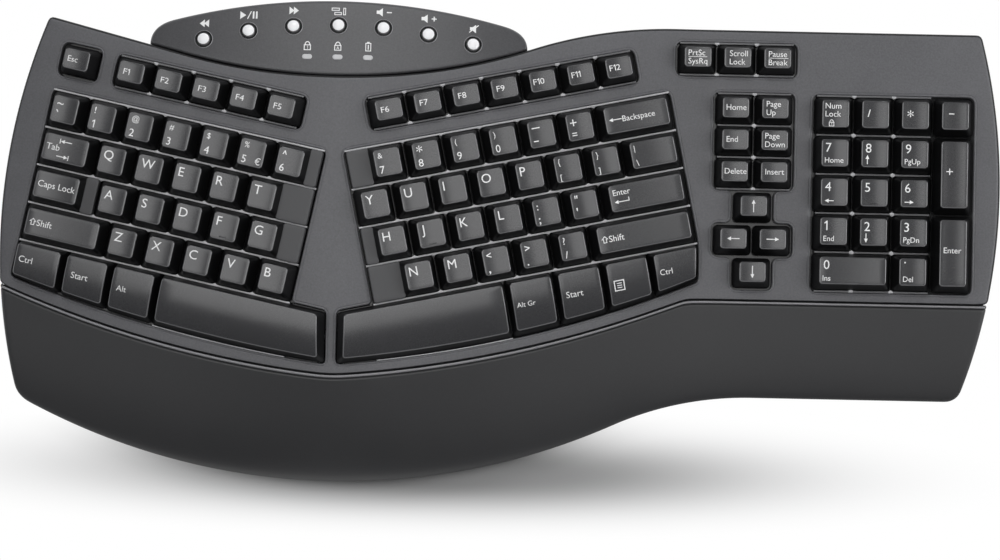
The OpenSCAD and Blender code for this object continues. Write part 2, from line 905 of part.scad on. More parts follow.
// Key i of a row of a block.
module block_key(side, row, i) {
    u = rows_of(side)[row][i];
    last = len(rows_of(side)[row]) - 1;
    step_l = side > 0 && i == 0 ? right_steps[row] * (u - 1) : 0;
    step_r = side > 0 ? 0 : i == last ? left_steps[row] * (u - 1) : row == 2 && i == 0 ? caps_step : 0;
    on_block(side)
        translate([(cell_u(side, row, i) + u / 2) * key_pitch, -(row + 0.5) * row_pitch, 0])
            keycap(u * key_pitch, row_pitch, step_l * key_pitch, step_r * key_pitch,
                row == home_row && i == (side < 0 ? left_home : right_home));
}

module block_keys(side, row, first, last) {
    color([0.17, 0.17, 0.18])
        for (i = [first : last])
            block_key(side, row, i);
}

module fkey(side, i) {
    on_block(side)
        translate([side * (fkey_start + i + 0.5) * key_pitch, fkey_gap + fkey_d / 2, 0])
            keycap(key_pitch, fkey_d);
}

// Bottom row: tops that roll down to the front, and a curved front edge

function low_u(side) =
    let (end = side < 0 ? left_u : right_u, mods = side < 0 ? left_mods : right_mods)
    concat([side * end], [for (i = [0 : mods]) side * (end - ctrl_u - i * mod_u)]);
space_over = 1;

module low_block(side, x0, x1, inset) {
    w = x1 - x0 - key_gap - 2 * inset;
    d = low_depth - inset;
    z0 = -skirt_drop - (inset > 0 ? eps : 0);
    intersection() {
        on_block(side)
            translate([(x0 + x1) / 2, low_y - key_gap / 2 - inset - d / 2, 0])
                frustum(w, d, z0, cap_h - inset + roll_over, low_side, 0, low_side,
                    cap_corner, cap_top_corner);
        on_block(side)
            translate([0, low_y - row_pitch / 4, cap_h - inset - roll_r])
                rotate([0, 90, 0])
                    cylinder(r = roll_r, h = 2 * wide, center = true, $fn = smooth_fn);
        low_limit(side, -well_gap - inset);
    }
}

module low_key(side, x0, x1, stem_x) {
    color([0.17, 0.17, 0.18]) {
        difference() {
            low_block(side, x0, x1, 0);
            low_block(side, x0, x1, cap_wall);
        }
        on_block(side)
            translate([stem_x, low_y - low_stem_y, 0])
                stem(cap_h - cap_wall / 2);
    }
}

module mod_key(side, i) {
    a = low_u(side)[i] * key_pitch;
    b = low_u(side)[i + 1] * key_pitch;
    low_key(side, min(a, b), max(a, b), (a + b) / 2);
}

function space_from(side) = side < 0 ? low_u(side)[left_mods + 1] * key_pitch : -space_over * key_pitch;
function space_to(side) = side < 0 ? space_over * key_pitch : low_u(side)[right_mods + 1] * key_pitch;
function space_stem(side) = (space_from(side) + space_to(side)) / 2;

module space_key(side) {
    low_key(side, space_from(side), space_to(side), space_stem(side));
}

module key_esc() {
    color([0.17, 0.17, 0.18])
        on_block(side_left)
            translate([(0.5 - left_u) * key_pitch, fkey_gap + fkey_d / 2, 0])
                keycap(key_pitch, fkey_d);
}

module keys_f1_to_f5() {
    color([0.17, 0.17, 0.18])
        for (i = [0 : left_fkeys - 1])
            fkey(side_left, i);
}

module keys_left_number_row() {
    block_keys(side_left, 0, 0, 6);
}

module key_tab() {
    block_keys(side_left, 1, 0, 0);
}

module keys_q_to_t() {
    block_keys(side_left, 1, 1, 5);
}

module key_caps_lock() {
    block_keys(side_left, 2, 0, 0);
}

module keys_a_to_g() {
    block_keys(side_left, 2, 1, 5);
}

module key_left_shift() {
    block_keys(side_left, 3, 0, 0);
}

module keys_z_to_b() {
    block_keys(side_left, 3, 1, 5);
}

module key_left_ctrl() {
    mod_key(side_left, 0);
}

module key_left_start() {
    mod_key(side_left, 1);
}

module key_left_alt() {
    mod_key(side_left, 2);
}

module key_left_space() {
    space_key(side_left);
}

module keys_f6_to_f12() {
    color([0.17, 0.17, 0.18])
        for (i = [0 : right_fkeys - 1])
            fkey(side_right, i);
}

module keys_right_number_row() {
    block_keys(side_right, 0, 0, 5);
}

module key_backspace() {
    block_keys(side_right, 0, 6, 6);
}

module keys_y_to_bracket() {
    block_keys(side_right, 1, 0, 6);
}

module key_backslash() {
    block_keys(side_right, 1, 7, 7);
}

module keys_h_to_quote() {
    block_keys(side_right, 2, 0, 5);
}

module key_enter() {
    block_keys(side_right, 2, 6, 6);
}

module keys_n_to_slash() {
    block_keys(side_right, 3, 0, 4);
}

module key_right_shift() {
    block_keys(side_right, 3, 5, 5);
}

module key_right_space() {
    space_key(side_right);
}

module key_alt_gr() {
    mod_key(side_right, 3);
}

module key_right_start() {
    mod_key(side_right, 2);
}

module key_menu() {
    mod_key(side_right, 1);
}

module key_right_ctrl() {
    mod_key(side_right, 0);
}

// Flat keys: middles of the cells, from the left and from the back

function sys_spots() = [for (i = [-1 : 1]) [sys_x + i * sys_pitch, sys_y]];
function nav_spots() = [for (r = [1 : -1 : -1]) for (c = [-0.5, 0.5])
    [nav_x + c * nav_pitch_x, nav_y + r * nav_pitch_y]];
function arrow_spots() = concat(
    [for (r = [1, -1]) [nav_x, arrow_y + r * arrow_pitch]],
    [for (c = [-0.5, 0.5]) [nav_x + c * nav_pitch_x, arrow_y]]);
function num_spot(c, r) = [num_x + (c - 1.5) * num_pitch_x, num_y + (2 - r) * num_pitch_y];
function num_top_spots() = [for (c = [0 : 3]) num_spot(c, 0)];
function num_digit_spots() = concat([for (r = [1 : 3]) for (c = [0 : 2]) num_spot(c, r)], [num_spot(2, 4)]);
function num_wide_spots() = [num_spot(3, 1.5), num_spot(3, 3.5), num_spot(0.5, 4)];

module pad_keys(spots, w, d, home = -1) {
    color([0.17, 0.17, 0.18])
        for (i = [0 : len(spots) - 1])
            on_pad(spots[i][0], spots[i][1])
                keycap(w, d, bar = i == home);
}

module keys_system() {
    pad_keys(sys_spots(), sys_pitch, fkey_d);
}

module keys_navigation() {
    pad_keys(nav_spots(), nav_pitch_x, nav_pitch_y);
}

module keys_arrows() {
    pad_keys(arrow_spots(), nav_pitch_x, nav_pitch_y);
}

module keys_numpad_top() {
    pad_keys(num_top_spots(), num_pitch_x, num_pitch_y);
}

module keys_numpad_digits() {
    pad_keys(num_digit_spots(), num_pitch_x, num_pitch_y, pad_home);
}

module key_numpad_plus() {
    pad_keys([num_wide_spots()[0]], num_pitch_x, 2 * num_pitch_y);
}

module key_numpad_enter() {
    pad_keys([num_wide_spots()[1]], num_pitch_x, 2 * num_pitch_y);
}

module key_numpad_zero() {
    pad_keys([num_wide_spots()[2]], 2 * num_pitch_x, num_pitch_y);
}

// Layers below the keys. Every key has one stem, and each layer has a bore or a dome there.

function cap_shift(side, row, i) =
    let (u = rows_of(side)[row][i], last = len(rows_of(side)[row]) - 1)
    side > 0 && i == 0 ? right_steps[row] * (u - 1) / 2
    : side < 0 && i == last ? -left_steps[row] * (u - 1) / 2
    : side < 0 && row == 2 && i == 0 ? -caps_step / 2 : 0;

function block_stems(side) = concat(
    [for (row = [0 : row_count - 1]) for (i = [0 : len(rows_of(side)[row]) - 1])
        [(cell_u(side, row, i) + rows_of(side)[row][i] / 2 + cap_shift(side, row, i)) * key_pitch,
         -(row + 0.5) * row_pitch]],
    [for (i = [0 : (side < 0 ? left_fkeys : right_fkeys) - 1])
        [side * (fkey_start + i + 0.5) * key_pitch, fkey_gap + fkey_d / 2]],
    side < 0 ? [[(0.5 - left_u) * key_pitch, fkey_gap + fkey_d / 2]] : [],
    [for (i = [0 : len(low_u(side)) - 2])
        [(low_u(side)[i] + low_u(side)[i + 1]) / 2 * key_pitch, low_y - low_stem_y]],
    [[space_stem(side), low_y - low_stem_y]]);

function pad_stems() = concat(sys_spots(), nav_spots(), arrow_spots(),
    num_top_spots(), num_digit_spots(), num_wide_spots());

module block_layer_plan(side) {
    w = (side < 0 ? left_u : right_u) * key_pitch;
    x0 = side < 0 ? -w : 0;
    f0 = fkey_start * key_pitch - collar_t;
    f1 = (side < 0 ? left_u : right_fkeys + fkey_start) * key_pitch + collar_t;
    translate([x0 - collar_t, low_y - low_depth])
        square([w + 2 * collar_t, low_depth - low_y + collar_t]);
    translate([side < 0 ? -f1 : f0, 0])
        square([f1 - f0, fkey_gap + fkey_d + collar_t]);
    translate([side < 0 ? 0 : -space_over * key_pitch, low_y - low_depth])
        square([space_over * key_pitch, low_depth]);
}

module pad_layer_plan() {
    translate([num_x, num_y])
        square([num_cols * num_pitch_x + 2 * collar_t, num_rows * num_pitch_y + 2 * collar_t], center = true);
    translate([nav_x - nav_pitch_x - collar_t, num_y - num_rows / 2 * num_pitch_y - collar_t])
        square([num_x - nav_x, num_rows * num_pitch_y + 2 * collar_t]);
    translate([sys_x - 1.5 * sys_pitch - collar_t, sys_y - fkey_d / 2 - collar_t])
        square([3 * sys_pitch + 2 * collar_t, fkey_d + 2 * collar_t]);
    translate([nav_x - nav_pitch_x - collar_t, num_y])
        square([2 * nav_pitch_x, sys_y - num_y]);
}

// The room inside the case for one layer of a block.
module layer_room(side) {
    intersection() {
        linear_extrude(height = tall)
            offset(delta = -reveal - wall - seat_gap)
                deck_plan();
        low_limit(side, collar_t);
    }
}

module block_layer(side, z0, z1, holes) {
    intersection() {
        on_block(side)
            translate([0, 0, z0])
                linear_extrude(height = z1 - z0)
                    difference() {
                        block_layer_plan(side);
                        if (holes)
                            for (s = block_stems(side))
                                translate(s)
                                    circle(r = bore_r);
                    }
        layer_room(side);
    }
}

module pad_layer(z0, z1, holes) {
    on_pad(0, 0)
        translate([0, 0, z0])
            linear_extrude(height = z1 - z0)
                difference() {
                    pad_layer_plan();
                    if (holes)
                        for (s = pad_stems())
                            translate(s)
                                circle(r = bore_r);
                }
}

module layers(z0, z1, holes) {
    block_layer(side_left, z0, z1, holes);
    block_layer(side_right, z0, z1, holes);
    pad_layer(z0, z1, holes);
}

module domes(spots) {
    for (s = spots)
        translate([s[0], s[1], sheet_z + sheet_t])
            difference() {
                cylinder(r1 = dome_r, r2 = dome_r - dome_taper, h = dome_h);
                translate([0, 0, -eps])
                    cylinder(r = bore_r, h = dome_h + 2 * eps);
            }
}

module key_plates() {
    color([0.72, 0.72, 0.74])
        layers(plate_z, -well_depth, true);
}

module dome_sheets() {
    color([0.55, 0.57, 0.6]) {
        layers(sheet_z, sheet_z + sheet_t, true);
        on_block(side_left)
            domes(block_stems(side_left));
        on_block(side_right)
            domes(block_stems(side_right));
        on_pad(0, 0)
            domes(pad_stems());
    }
}

module circuit_sheets() {
    color([0.3, 0.42, 0.35])
        layers(circuit_z, sheet_z, false);
}

module support_plates() {
    color([0.6, 0.61, 0.63])
        layers(support_z, circuit_z, false);
}

// Bottom case

module block_posts(side, spots) {
    difference() {
        for (s = spots)
            on_block_spot(side, s)
                cylinder(r = post_r, h = tall);
        on_block(side)
            slab(support_z, tall);
    }
}

module posts() {
    block_posts(side_left, left_posts);
    block_posts(side_right, right_posts);
    for (s = num_posts)
        translate([s[0], s[1], foot_h])
            cylinder(r = post_r, h = num_z + support_z - foot_h);
}

// A point of a block, seen from above, at the underside of the bottom case.
module on_block_spot(side, s) {
    x = s[0] * cos(block_turn) - side * s[1] * sin(block_turn);
    y = side * s[0] * sin(block_turn) + s[1] * cos(block_turn);
    translate([split_x + side * block_gap + x * cos(tent), block_y + y, foot_h])
        children();
}

module screw_spots() {
    for (s = concat(deck_bosses, palm_bosses))
        translate([s[0], s[1], foot_h])
            children();
}

module flip_pocket(spot, grow) {
    g = door_gap + grow;
    translate([spot[0] - flip_w / 2 - g, spot[1] - flip_l - g, foot_h - (grow > 0 ? 0 : eps)])
        cube([flip_w + 2 * g, flip_l + 2 * g, flip_t + g]);
}

module bay_box(grow) {
    translate([split_x - bay_w / 2 - grow, bay_y - bay_d / 2 - grow, foot_h - (grow > 0 ? 0 : eps)])
        cube([bay_w + 2 * grow, bay_d + 2 * grow, bay_top_z - foot_h + grow]);
}

module hinge_pin(spot, w, r, l) {
    translate([spot[0], spot[1], spot[2]])
        rotate([0, 90, 0])
            cylinder(r = r, h = w + 2 * l, center = true);
}

bay_axis = [split_x, bay_y + bay_d / 2 - door_gap - barrel_r, foot_h + barrel_r];
function flip_axis(spot) = [spot[0], spot[1] - flip_l + flip_t / 2, foot_h + flip_t / 2];
pin_l = 1;

module bottom_case() {
    color([0.12, 0.12, 0.125])
        difference() {
            union() {
                difference() {
                    translate([0, 0, foot_h])
                        linear_extrude(height = joint_z - foot_h)
                            offset(delta = -reveal)
                                whole_plan();
                    translate([0, 0, floor_z])
                        linear_extrude(height = tall)
                            offset(delta = -reveal - wall)
                                whole_plan();
                }
                posts();
                bay_box(bay_wall);
                flip_pocket(flip_left, bay_wall);
                flip_pocket(flip_right, bay_wall);
            }
            bay_box(0);
            flip_pocket(flip_left, 0);
            flip_pocket(flip_right, 0);
            hinge_pin(bay_axis, bay_w - 2 * door_gap, pin_r + door_gap, pin_l + 2 * door_gap);
            hinge_pin(flip_axis(flip_left), flip_w, pin_r + door_gap, pin_l + door_gap);
            hinge_pin(flip_axis(flip_right), flip_w, pin_r + door_gap, pin_l + door_gap);
            screw_holes(deck_bosses);
            screw_holes(palm_bosses);
            screw_spots()
                translate([0, 0, -eps])
                    cylinder(r = screw_head_r + seat_gap, h = floor_t / 2 + eps);
        }
}

module case_screws() {
    color([0.62, 0.63, 0.65])
        screw_spots() {
            cylinder(r = screw_r, h = screw_l);
            cylinder(r = screw_head_r, h = floor_t / 2);
        }
}

module rubber_feet() {
    color([0.06, 0.06, 0.06])
        for (s = foot_spots)
            translate([s[0], s[1], 0])
                cylinder(r = foot_r, h = foot_h);
}

module batteries() {
    color([0.75, 0.6, 0.25])
        for (k = [-1, 1])
            translate([split_x, bay_y + k * (cell_r + cell_gap), floor_z + seat_gap + cell_r])
                rotate([0, 90, 0]) {
                    cylinder(r = cell_r, h = cell_l - nub_l, center = true);
                    cylinder(r = nub_r, h = cell_l, center = true);
                }
}

module battery_contacts() {
    color([0.8, 0.8, 0.78])
        for (k = [-1, 1])
            translate([split_x + k * (bay_w - contact_t) / 2, bay_y, floor_z + cell_r + seat_gap])
                cube([contact_t, bay_d - 2 * contact_inset, cell_r], center = true);
}

module battery_door() {
    w = bay_w - 2 * door_gap;
    color([0.12, 0.12, 0.125]) {
        translate([split_x - w / 2, bay_y - bay_d / 2 + door_gap, foot_h])
            cube([w, bay_d - 2 * door_gap - barrel_r, floor_t]);
        hinge_pin(bay_axis, w, barrel_r, 0);
        hinge_pin(bay_axis, w, pin_r, pin_l);
    }
}

module flip_foot(spot) {
    a = flip_axis(spot);
    color([0.1, 0.1, 0.105]) {
        translate([spot[0] - flip_w / 2, a[1], foot_h])
            cube([flip_w, flip_l - flip_t / 2, flip_t]);
        hinge_pin(a, flip_w, flip_t / 2, 0);
        hinge_pin(a, flip_w, pin_r, pin_l);
    }
}

module flip_foot_left() {
    flip_foot(flip_left);
}

module flip_foot_right() {
    flip_foot(flip_right);
}

top_case();
bottom_case();
palm_rest();
media_panel();
key_plates();
dome_sheets();
circuit_sheets();
support_plates();
media_board();
button_bezels();
indicator_lenses();
batteries();
battery_contacts();
battery_door();
flip_foot_left();
flip_foot_right();
rubber_feet();
case_screws();
button_rewind();
button_play_pause();
button_forward();
button_device();
button_volume_down();
button_volume_up();
button_mute();
key_esc();
keys_f1_to_f5();
keys_left_number_row();
key_tab();
keys_q_to_t();
key_caps_lock();
keys_a_to_g();
key_left_shift();
keys_z_to_b();
key_left_ctrl();
key_left_start();
key_left_alt();
key_left_space();
keys_f6_to_f12();
keys_right_number_row();
key_backspace();
keys_y_to_bracket();
key_backslash();
keys_h_to_quote();
key_enter();
keys_n_to_slash();
key_right_shift();
key_right_space();
key_alt_gr();
key_right_start();
key_menu();
key_right_ctrl();
keys_system();
keys_navigation();
keys_arrows();
keys_numpad_top();
keys_numpad_digits();
key_numpad_plus();
key_numpad_enter();
key_numpad_zero();
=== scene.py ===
# %% [markdown]
# # A split keyboard, dressed
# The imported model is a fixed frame: every case, key and button already has its place and its joint. Its
# solids are true in size but plain. Here each visible surface gets a smooth skin, worked out as a numpy
# array, and each finish a small node tree. All shapes are in millimetres and become metres at the end.

# %% Load the frame
import math

import bmesh
import bpy
import numpy as np
from mathutils import Matrix, Vector
from mathutils.geometry import tessellate_polygon


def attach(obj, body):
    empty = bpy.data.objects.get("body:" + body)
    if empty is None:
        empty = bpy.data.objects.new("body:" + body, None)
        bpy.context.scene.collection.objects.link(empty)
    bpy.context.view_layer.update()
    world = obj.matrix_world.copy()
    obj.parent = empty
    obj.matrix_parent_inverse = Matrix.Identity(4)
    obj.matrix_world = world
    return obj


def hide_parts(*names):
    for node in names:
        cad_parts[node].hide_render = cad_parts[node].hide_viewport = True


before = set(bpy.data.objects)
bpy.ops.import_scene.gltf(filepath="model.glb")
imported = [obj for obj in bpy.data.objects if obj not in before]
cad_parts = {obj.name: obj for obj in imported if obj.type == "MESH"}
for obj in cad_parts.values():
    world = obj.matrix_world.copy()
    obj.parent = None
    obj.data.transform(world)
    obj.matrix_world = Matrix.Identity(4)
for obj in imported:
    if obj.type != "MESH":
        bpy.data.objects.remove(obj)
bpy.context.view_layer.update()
MM = 0.001
SHEET_SHARP, PALM_SHARP, CAP_SHARP, INK_SHARP = 60.0, 70.0, 50.0, 30.0

# %% [markdown]
# ## Sizes that the skins share with the frame
# The deck is a tent: two slopes meet in a rounded ridge, and the right slope runs out into a flat pad. Most
# of these numbers are the solids' own, so that each skin lies where its solid lies; the seam and the front
# arcs of the bottom rows are set closer to the real outline. Reading every size off the frame's meshes would
# be longer and no truer. Angles are in degrees; a side is -1 for the left letter block, 1 for the right one.

# %% Driving sizes of the cases
SPLIT_X, APEX_Z, PAD_Z, TENT = -79.5, 36.5, 16.0, 7.0
RIDGE_R, VALLEY_R = 120.0, 150.0
JOINT_Z, SEAM_STEP, SEAT_GAP = 8.0, 0.5, 0.2
HALF_W, HALF_D = 241.98, 115.98
SIDE_R, LEFT_BULGE_Y, RIGHT_BULGE_Y = 290.0, -4.5, 30.5
FRONT_R, FRONT_HOLLOW_R, FRONT_FLAT_Y = 325.0, 160.0, -71.3
SEAM_Y, SEAM_FLAT_Y, SEAM_FLAT_FROM, SEAM_BLEND = -63.8, -23.8, 60.0, 1.0
SEAM_ARCS = (52.0, 550.0), (-46.0, 580.0)  # distance of the centre from the split line, radius
BACK_Y, BACK_FLAT_X, BACK_SLOPE, DECK_BACK_Y, DECK_BACK_R = 107.0, 85.6, 15.0, 79.1, 285.0
TILT, TILT_TAN = math.radians(TENT), math.tan(math.radians(TENT))
VALLEY_X = SPLIT_X + (APEX_Z - PAD_Z) / TILT_TAN
print("case:", 2 * HALF_W, "by", 2 * HALF_D, "mm, valley at x =", round(VALLEY_X, 1))

# %% Driving sizes of the keys
# widths whose names end in _U are in key pitches
PITCH, ROW_PITCH, LEFT_U, RIGHT_U = 18.8, 18.6, 7.25, 8.5
BLOCK_TURN, BLOCK_GAP, BLOCK_Y = 12.0, 4.6, 42.7
FKEY_START, FKEY_GAP, FKEY_D = 0.78, 7.7, 15.3
CTRL_U, MOD_U = 1.35, 1.26
SPACE_FRONT_Y, SPACE_GAP = -58.9, 2.5
SPACE_R, SPACE_ARC_X = {-1: 680.0, 1: 580.0}, {-1: 87.0, 1: 49.5}
OUTER_CUT = {-1: 0.0, 1: 0.2}
NUM_X, NUM_Y, NUM_PX, NUM_PY = 189.5, 28.5, 19.25, 18.9
NAV_X, NAV_Y, NAV_PX, NAV_PY = 122.0, 52.9, 19.0, 15.4
ARROW_Y, ARROW_PITCH = 5.1, 15.9
SYS_X, SYS_Y, SYS_PITCH = 113.0, 92.4, 19.2
CAP_H, SKIRT_DROP, CAP_SIDE, CAP_FRONT, CAP_BACK = 7.5, 0.5, 2.7, 2.9, 1.9
DISH, STEP_H, ROLL_R, KEY_GAP, WELL_GAP, WELL_DEPTH = 0.6, 2.4, 50.0, 0.8, 0.6, 4.3
TURN = math.radians(BLOCK_TURN)
BLOCK_SPAN = {-1: LEFT_U * PITCH, 1: RIGHT_U * PITCH}
BLOCK_Z = APEX_Z - BLOCK_GAP * TILT_TAN
LOW_Y, FKEY_Y = -4 * ROW_PITCH, FKEY_GAP + FKEY_D / 2
ESC_X = (0.5 - LEFT_U) * PITCH
print("letter blocks:", {side: round(span, 1) for side, span in BLOCK_SPAN.items()}, "mm wide")

# %% [markdown]
# ## Curves of the cases
# In plan the cases are bounded by arcs that run into each other. Each edge is a function, y of x or x of y,
# so that a skin can ask for a point anywhere on it. Drawing the edges by hand would be quicker, but then
# the deck and the palm rest would not share the same seam.

# %% Plan curves and heights
def arc(r, d):
    """Height of a circle of radius r at the distance d from its centre."""
    return np.sqrt(np.maximum(r * r - d * d, 0))


def deck_z(x):
    """Height of the deck: a straight tent, with an arc over the ridge and another in the valley."""
    off_ridge, off_valley = np.abs(x - SPLIT_X), VALLEY_X - x
    ridge_half, valley_half = RIDGE_R * math.sin(TILT), VALLEY_R * math.tan(TILT / 2)
    slope = APEX_Z - off_ridge * TILT_TAN
    ridge = APEX_Z - ridge_half * TILT_TAN + arc(RIDGE_R, off_ridge) - RIDGE_R * math.cos(TILT)
    valley = PAD_Z + VALLEY_R - arc(VALLEY_R, off_valley + valley_half)
    lower = np.where(off_valley < -valley_half, PAD_Z, np.where(off_valley < valley_half, valley, slope))
    return np.where(off_ridge < ridge_half, ridge, lower)


def front_y(x):
    """Front edge of the palm rest: an arc about the split line, a hollow arc, then a straight line."""
    centre, hollow_centre = FRONT_R - HALF_D, FRONT_FLAT_Y - FRONT_HOLLOW_R
    reach = FRONT_R + FRONT_HOLLOW_R
    run = math.sqrt(reach**2 - (centre - hollow_centre) ** 2)
    turn_x, hollow_x = SPLIT_X + run * FRONT_R / reach, SPLIT_X + run
    hollow = hollow_centre + arc(FRONT_HOLLOW_R, hollow_x - x)
    right = np.where(x < hollow_x, hollow, FRONT_FLAT_Y)
    return np.where(x < turn_x, centre - arc(FRONT_R, x - SPLIT_X), right)


def soft_max(a, b, blend):
    """The larger of two curves; where they cross, a rounded corner stands blend / 2 above them."""
    return (a + b + np.sqrt((a - b) ** 2 + blend * blend)) / 2


def seam_y(x):
    """Seam between the deck and the palm rest: two arcs that meet at the split line, then a straight line.
    Each arc is given by its centre's distance from the split line and its radius."""
    d = np.asarray(x, float) - SPLIT_X
    arcs = [SEAM_Y + math.sqrt(r * r - c * c) - arc(r, d - c) for c, r in SEAM_ARCS]
    both = soft_max(*arcs, SEAM_BLEND)
    return np.where(d > SEAM_FLAT_FROM, -soft_max(-both, -SEAM_FLAT_Y, SEAM_BLEND), both)


def rear_y(x):
    """Back edge of the deck: a straight slope, a hollow arc behind the blocks, an arc, then a flat edge."""
    centre, slope = DECK_BACK_Y + DECK_BACK_R, math.radians(BACK_SLOPE)
    rise, run = centre - BACK_Y, BACK_FLAT_X - SPLIT_X
    r = (run**2 + rise**2 - DECK_BACK_R**2) / (2 * (DECK_BACK_R - rise))
    turn_x = SPLIT_X + run * DECK_BACK_R / (DECK_BACK_R + r)
    start_x, start_y = SPLIT_X - DECK_BACK_R * math.sin(slope), centre - DECK_BACK_R * math.cos(slope)
    straight = start_y + (start_x - x) * math.tan(slope)
    over = np.where(x < BACK_FLAT_X, BACK_Y - r + arc(r, BACK_FLAT_X - x), BACK_Y)
    right = np.where(x < turn_x, centre - arc(DECK_BACK_R, x - SPLIT_X), over)
    return np.where(x < start_x, straight, right)


def left_x(y):
    """Left side: an arc that bulges outwards."""
    return SIDE_R - HALF_W - arc(SIDE_R, y - LEFT_BULGE_Y)


def right_x(y):
    """Right side: the same arc, bulging to the right."""
    return HALF_W - SIDE_R + arc(SIDE_R, y - RIGHT_BULGE_Y)


print("front at the split:", float(front_y(np.array(SPLIT_X))), "seam there:", float(seam_y(SPLIT_X)))

# %% [markdown]
# ## A small language for shader maths
# A node tree is easier to read as an expression. `Sock` wraps a socket, so that `mask * 0.2 + 0.9` adds two
# Math nodes. Any other node comes from `Finish.node`, which takes the node's type, its settings and its
# inputs.

# %% Shader helpers
MIX_A, MIX_B, MIX_RESULT = 6, 7, 2


class Sock:
    """One value socket; the operators add Math nodes to its tree."""

    def __init__(self, finish, socket):
        self.finish, self.socket = finish, socket

    def math(self, operation, a, b):
        return self.finish.node("ShaderNodeMath", {"operation": operation}, {0: a, 1: b})

    def beside(self, name):
        """Another output of the same node."""
        return Sock(self.finish, self.socket.node.outputs[name])

    def __add__(self, other):
        return self.math("ADD", self, other)

    def __sub__(self, other):
        return self.math("SUBTRACT", self, other)

    def __rsub__(self, other):
        return self.math("SUBTRACT", other, self)

    def __mul__(self, other):
        return self.math("MULTIPLY", self, other)

    __radd__, __rmul__ = __add__, __mul__


class Finish:
    """One material: its node tree, its shader and a method that adds nodes."""

    def __init__(self, name):
        self.material = bpy.data.materials.new(name)
        self.material.use_nodes = True
        self.tree = self.material.node_tree
        self.shader = self.tree.nodes["Principled BSDF"]

    def node(self, kind, settings=None, inputs=None, out=0):
        """Adds a node, sets its settings first, then fills or links its inputs; returns one output."""
        made = self.tree.nodes.new(kind)
        for key, value in (settings or {}).items():
            setattr(made, key, value)
        for key, value in (inputs or {}).items():
            self.feed(made.inputs[key], value)
        return Sock(self, made.outputs[out])

    def feed(self, socket, value):
        if isinstance(value, Sock):
            self.tree.links.new(value.socket, socket)
        else:
            socket.default_value = value

    def set(self, **values):
        """Sets or links sockets of the shader; Base_Color stands for Base Color."""
        for key, value in values.items():
            self.feed(self.shader.inputs[key.replace("_", " ")], value)
        return self

    def place(self):
        """Object coordinates, which stay with the piece when it moves."""
        return self.node("ShaderNodeTexCoord", out="Object")

    def noise(self, size_mm, detail=2.0, rough=0.5):
        """Noise whose grains measure about size_mm."""
        grains = {"Vector": self.place(), "Scale": 1 / (size_mm * MM), "Detail": detail, "Roughness": rough}
        return self.node("ShaderNodeTexNoise", {"noise_dimensions": "3D"}, grains)

    def mix(self, factor, low, high):
        """A colour between two greys or colours."""
        colours = {0: factor, MIX_A: (*low, 1.0), MIX_B: (*high, 1.0)}
        return self.node("ShaderNodeMix", {"data_type": "RGBA"}, colours, MIX_RESULT)

    def shade(self, colour, factor, spread):
        """The colour, darker and lighter by the given share as factor goes from 0 to 1."""
        return self.mix(factor, [c * (1 - spread) for c in colour], [c * (1 + spread) for c in colour])

    def ramp(self, value, start, end, low, high):
        """Goes from low to high in an S-curve while value goes from start to end."""
        span = {"Value": value, "From Min": start, "From Max": end, "To Min": low, "To Max": high}
        return self.node("ShaderNodeMapRange", {"interpolation_type": "SMOOTHSTEP"}, span)

    def bump(self, height, depth_mm):
        relief = {"Strength": 1.0, "Distance": depth_mm * MM, "Height": height}
        return self.node("ShaderNodeBump", None, relief)


class Sky(Finish):
    """The world's node tree, with the same methods."""

    def __init__(self, world):
        self.tree = world.node_tree
        self.shader = self.tree.nodes["Background"]


print("shader helpers ready")

# %% [markdown]
# ## Finishes
# The deck is a mid grey with a visible grain, the palm rest a darker and softer grey. The key tops are
# satin; their rounded edge is coloured brighter on all sides but the back, a painted highlight, and their
# skirts are coloured near black, a painted shade on the same plastic. Legends are white ink. All of these are
# moulded plastic, so one function makes them: a fine grain in the relief, and a slow drift in colour and
# gloss. A flat colour with one roughness would look like paper at this distance.

# %% Finishes of the visible pieces
DRIFT_MM, GRAIN_SHARE, DRIFT_GLOSS, GRAIN_GLOSS = 35.0, 0.7, 0.08, 0.1


def moulded(name, colour, rough, grain_mm, grain_depth, spread, specular=0.5):
    """Colour and gloss waver about their values with two noises; the finer one also lifts the surface."""
    finish = Finish(name)
    grain, drift = finish.noise(grain_mm, 3.0, 0.6), finish.noise(DRIFT_MM)
    finish.set(
        Base_Color=finish.shade(colour, grain * GRAIN_SHARE + drift * (1 - GRAIN_SHARE), spread),
        Roughness=drift * DRIFT_GLOSS + grain * GRAIN_GLOSS + (rough - (DRIFT_GLOSS + GRAIN_GLOSS) / 2),
        Normal=finish.bump(grain, grain_depth),
        Specular_IOR_Level=specular,
    )
    return finish.material


def rolled_steel(name):
    """Rolled steel sheet: long streaks in the gloss, along X."""
    finish = Finish(name)
    stretched = {"Vector": finish.place(), "Scale": (60.0, 3000.0, 3000.0)}
    along_x = finish.node("ShaderNodeMapping", None, stretched)
    streak = finish.node("ShaderNodeTexNoise", None, {"Vector": along_x, "Scale": 1.0, "Detail": 3.0})
    grey = finish.shade((0.58, 0.59, 0.61), streak, 0.08)
    finish.set(Base_Color=grey, Roughness=streak * 0.2 + 0.25, Metallic=1.0)
    return finish.material


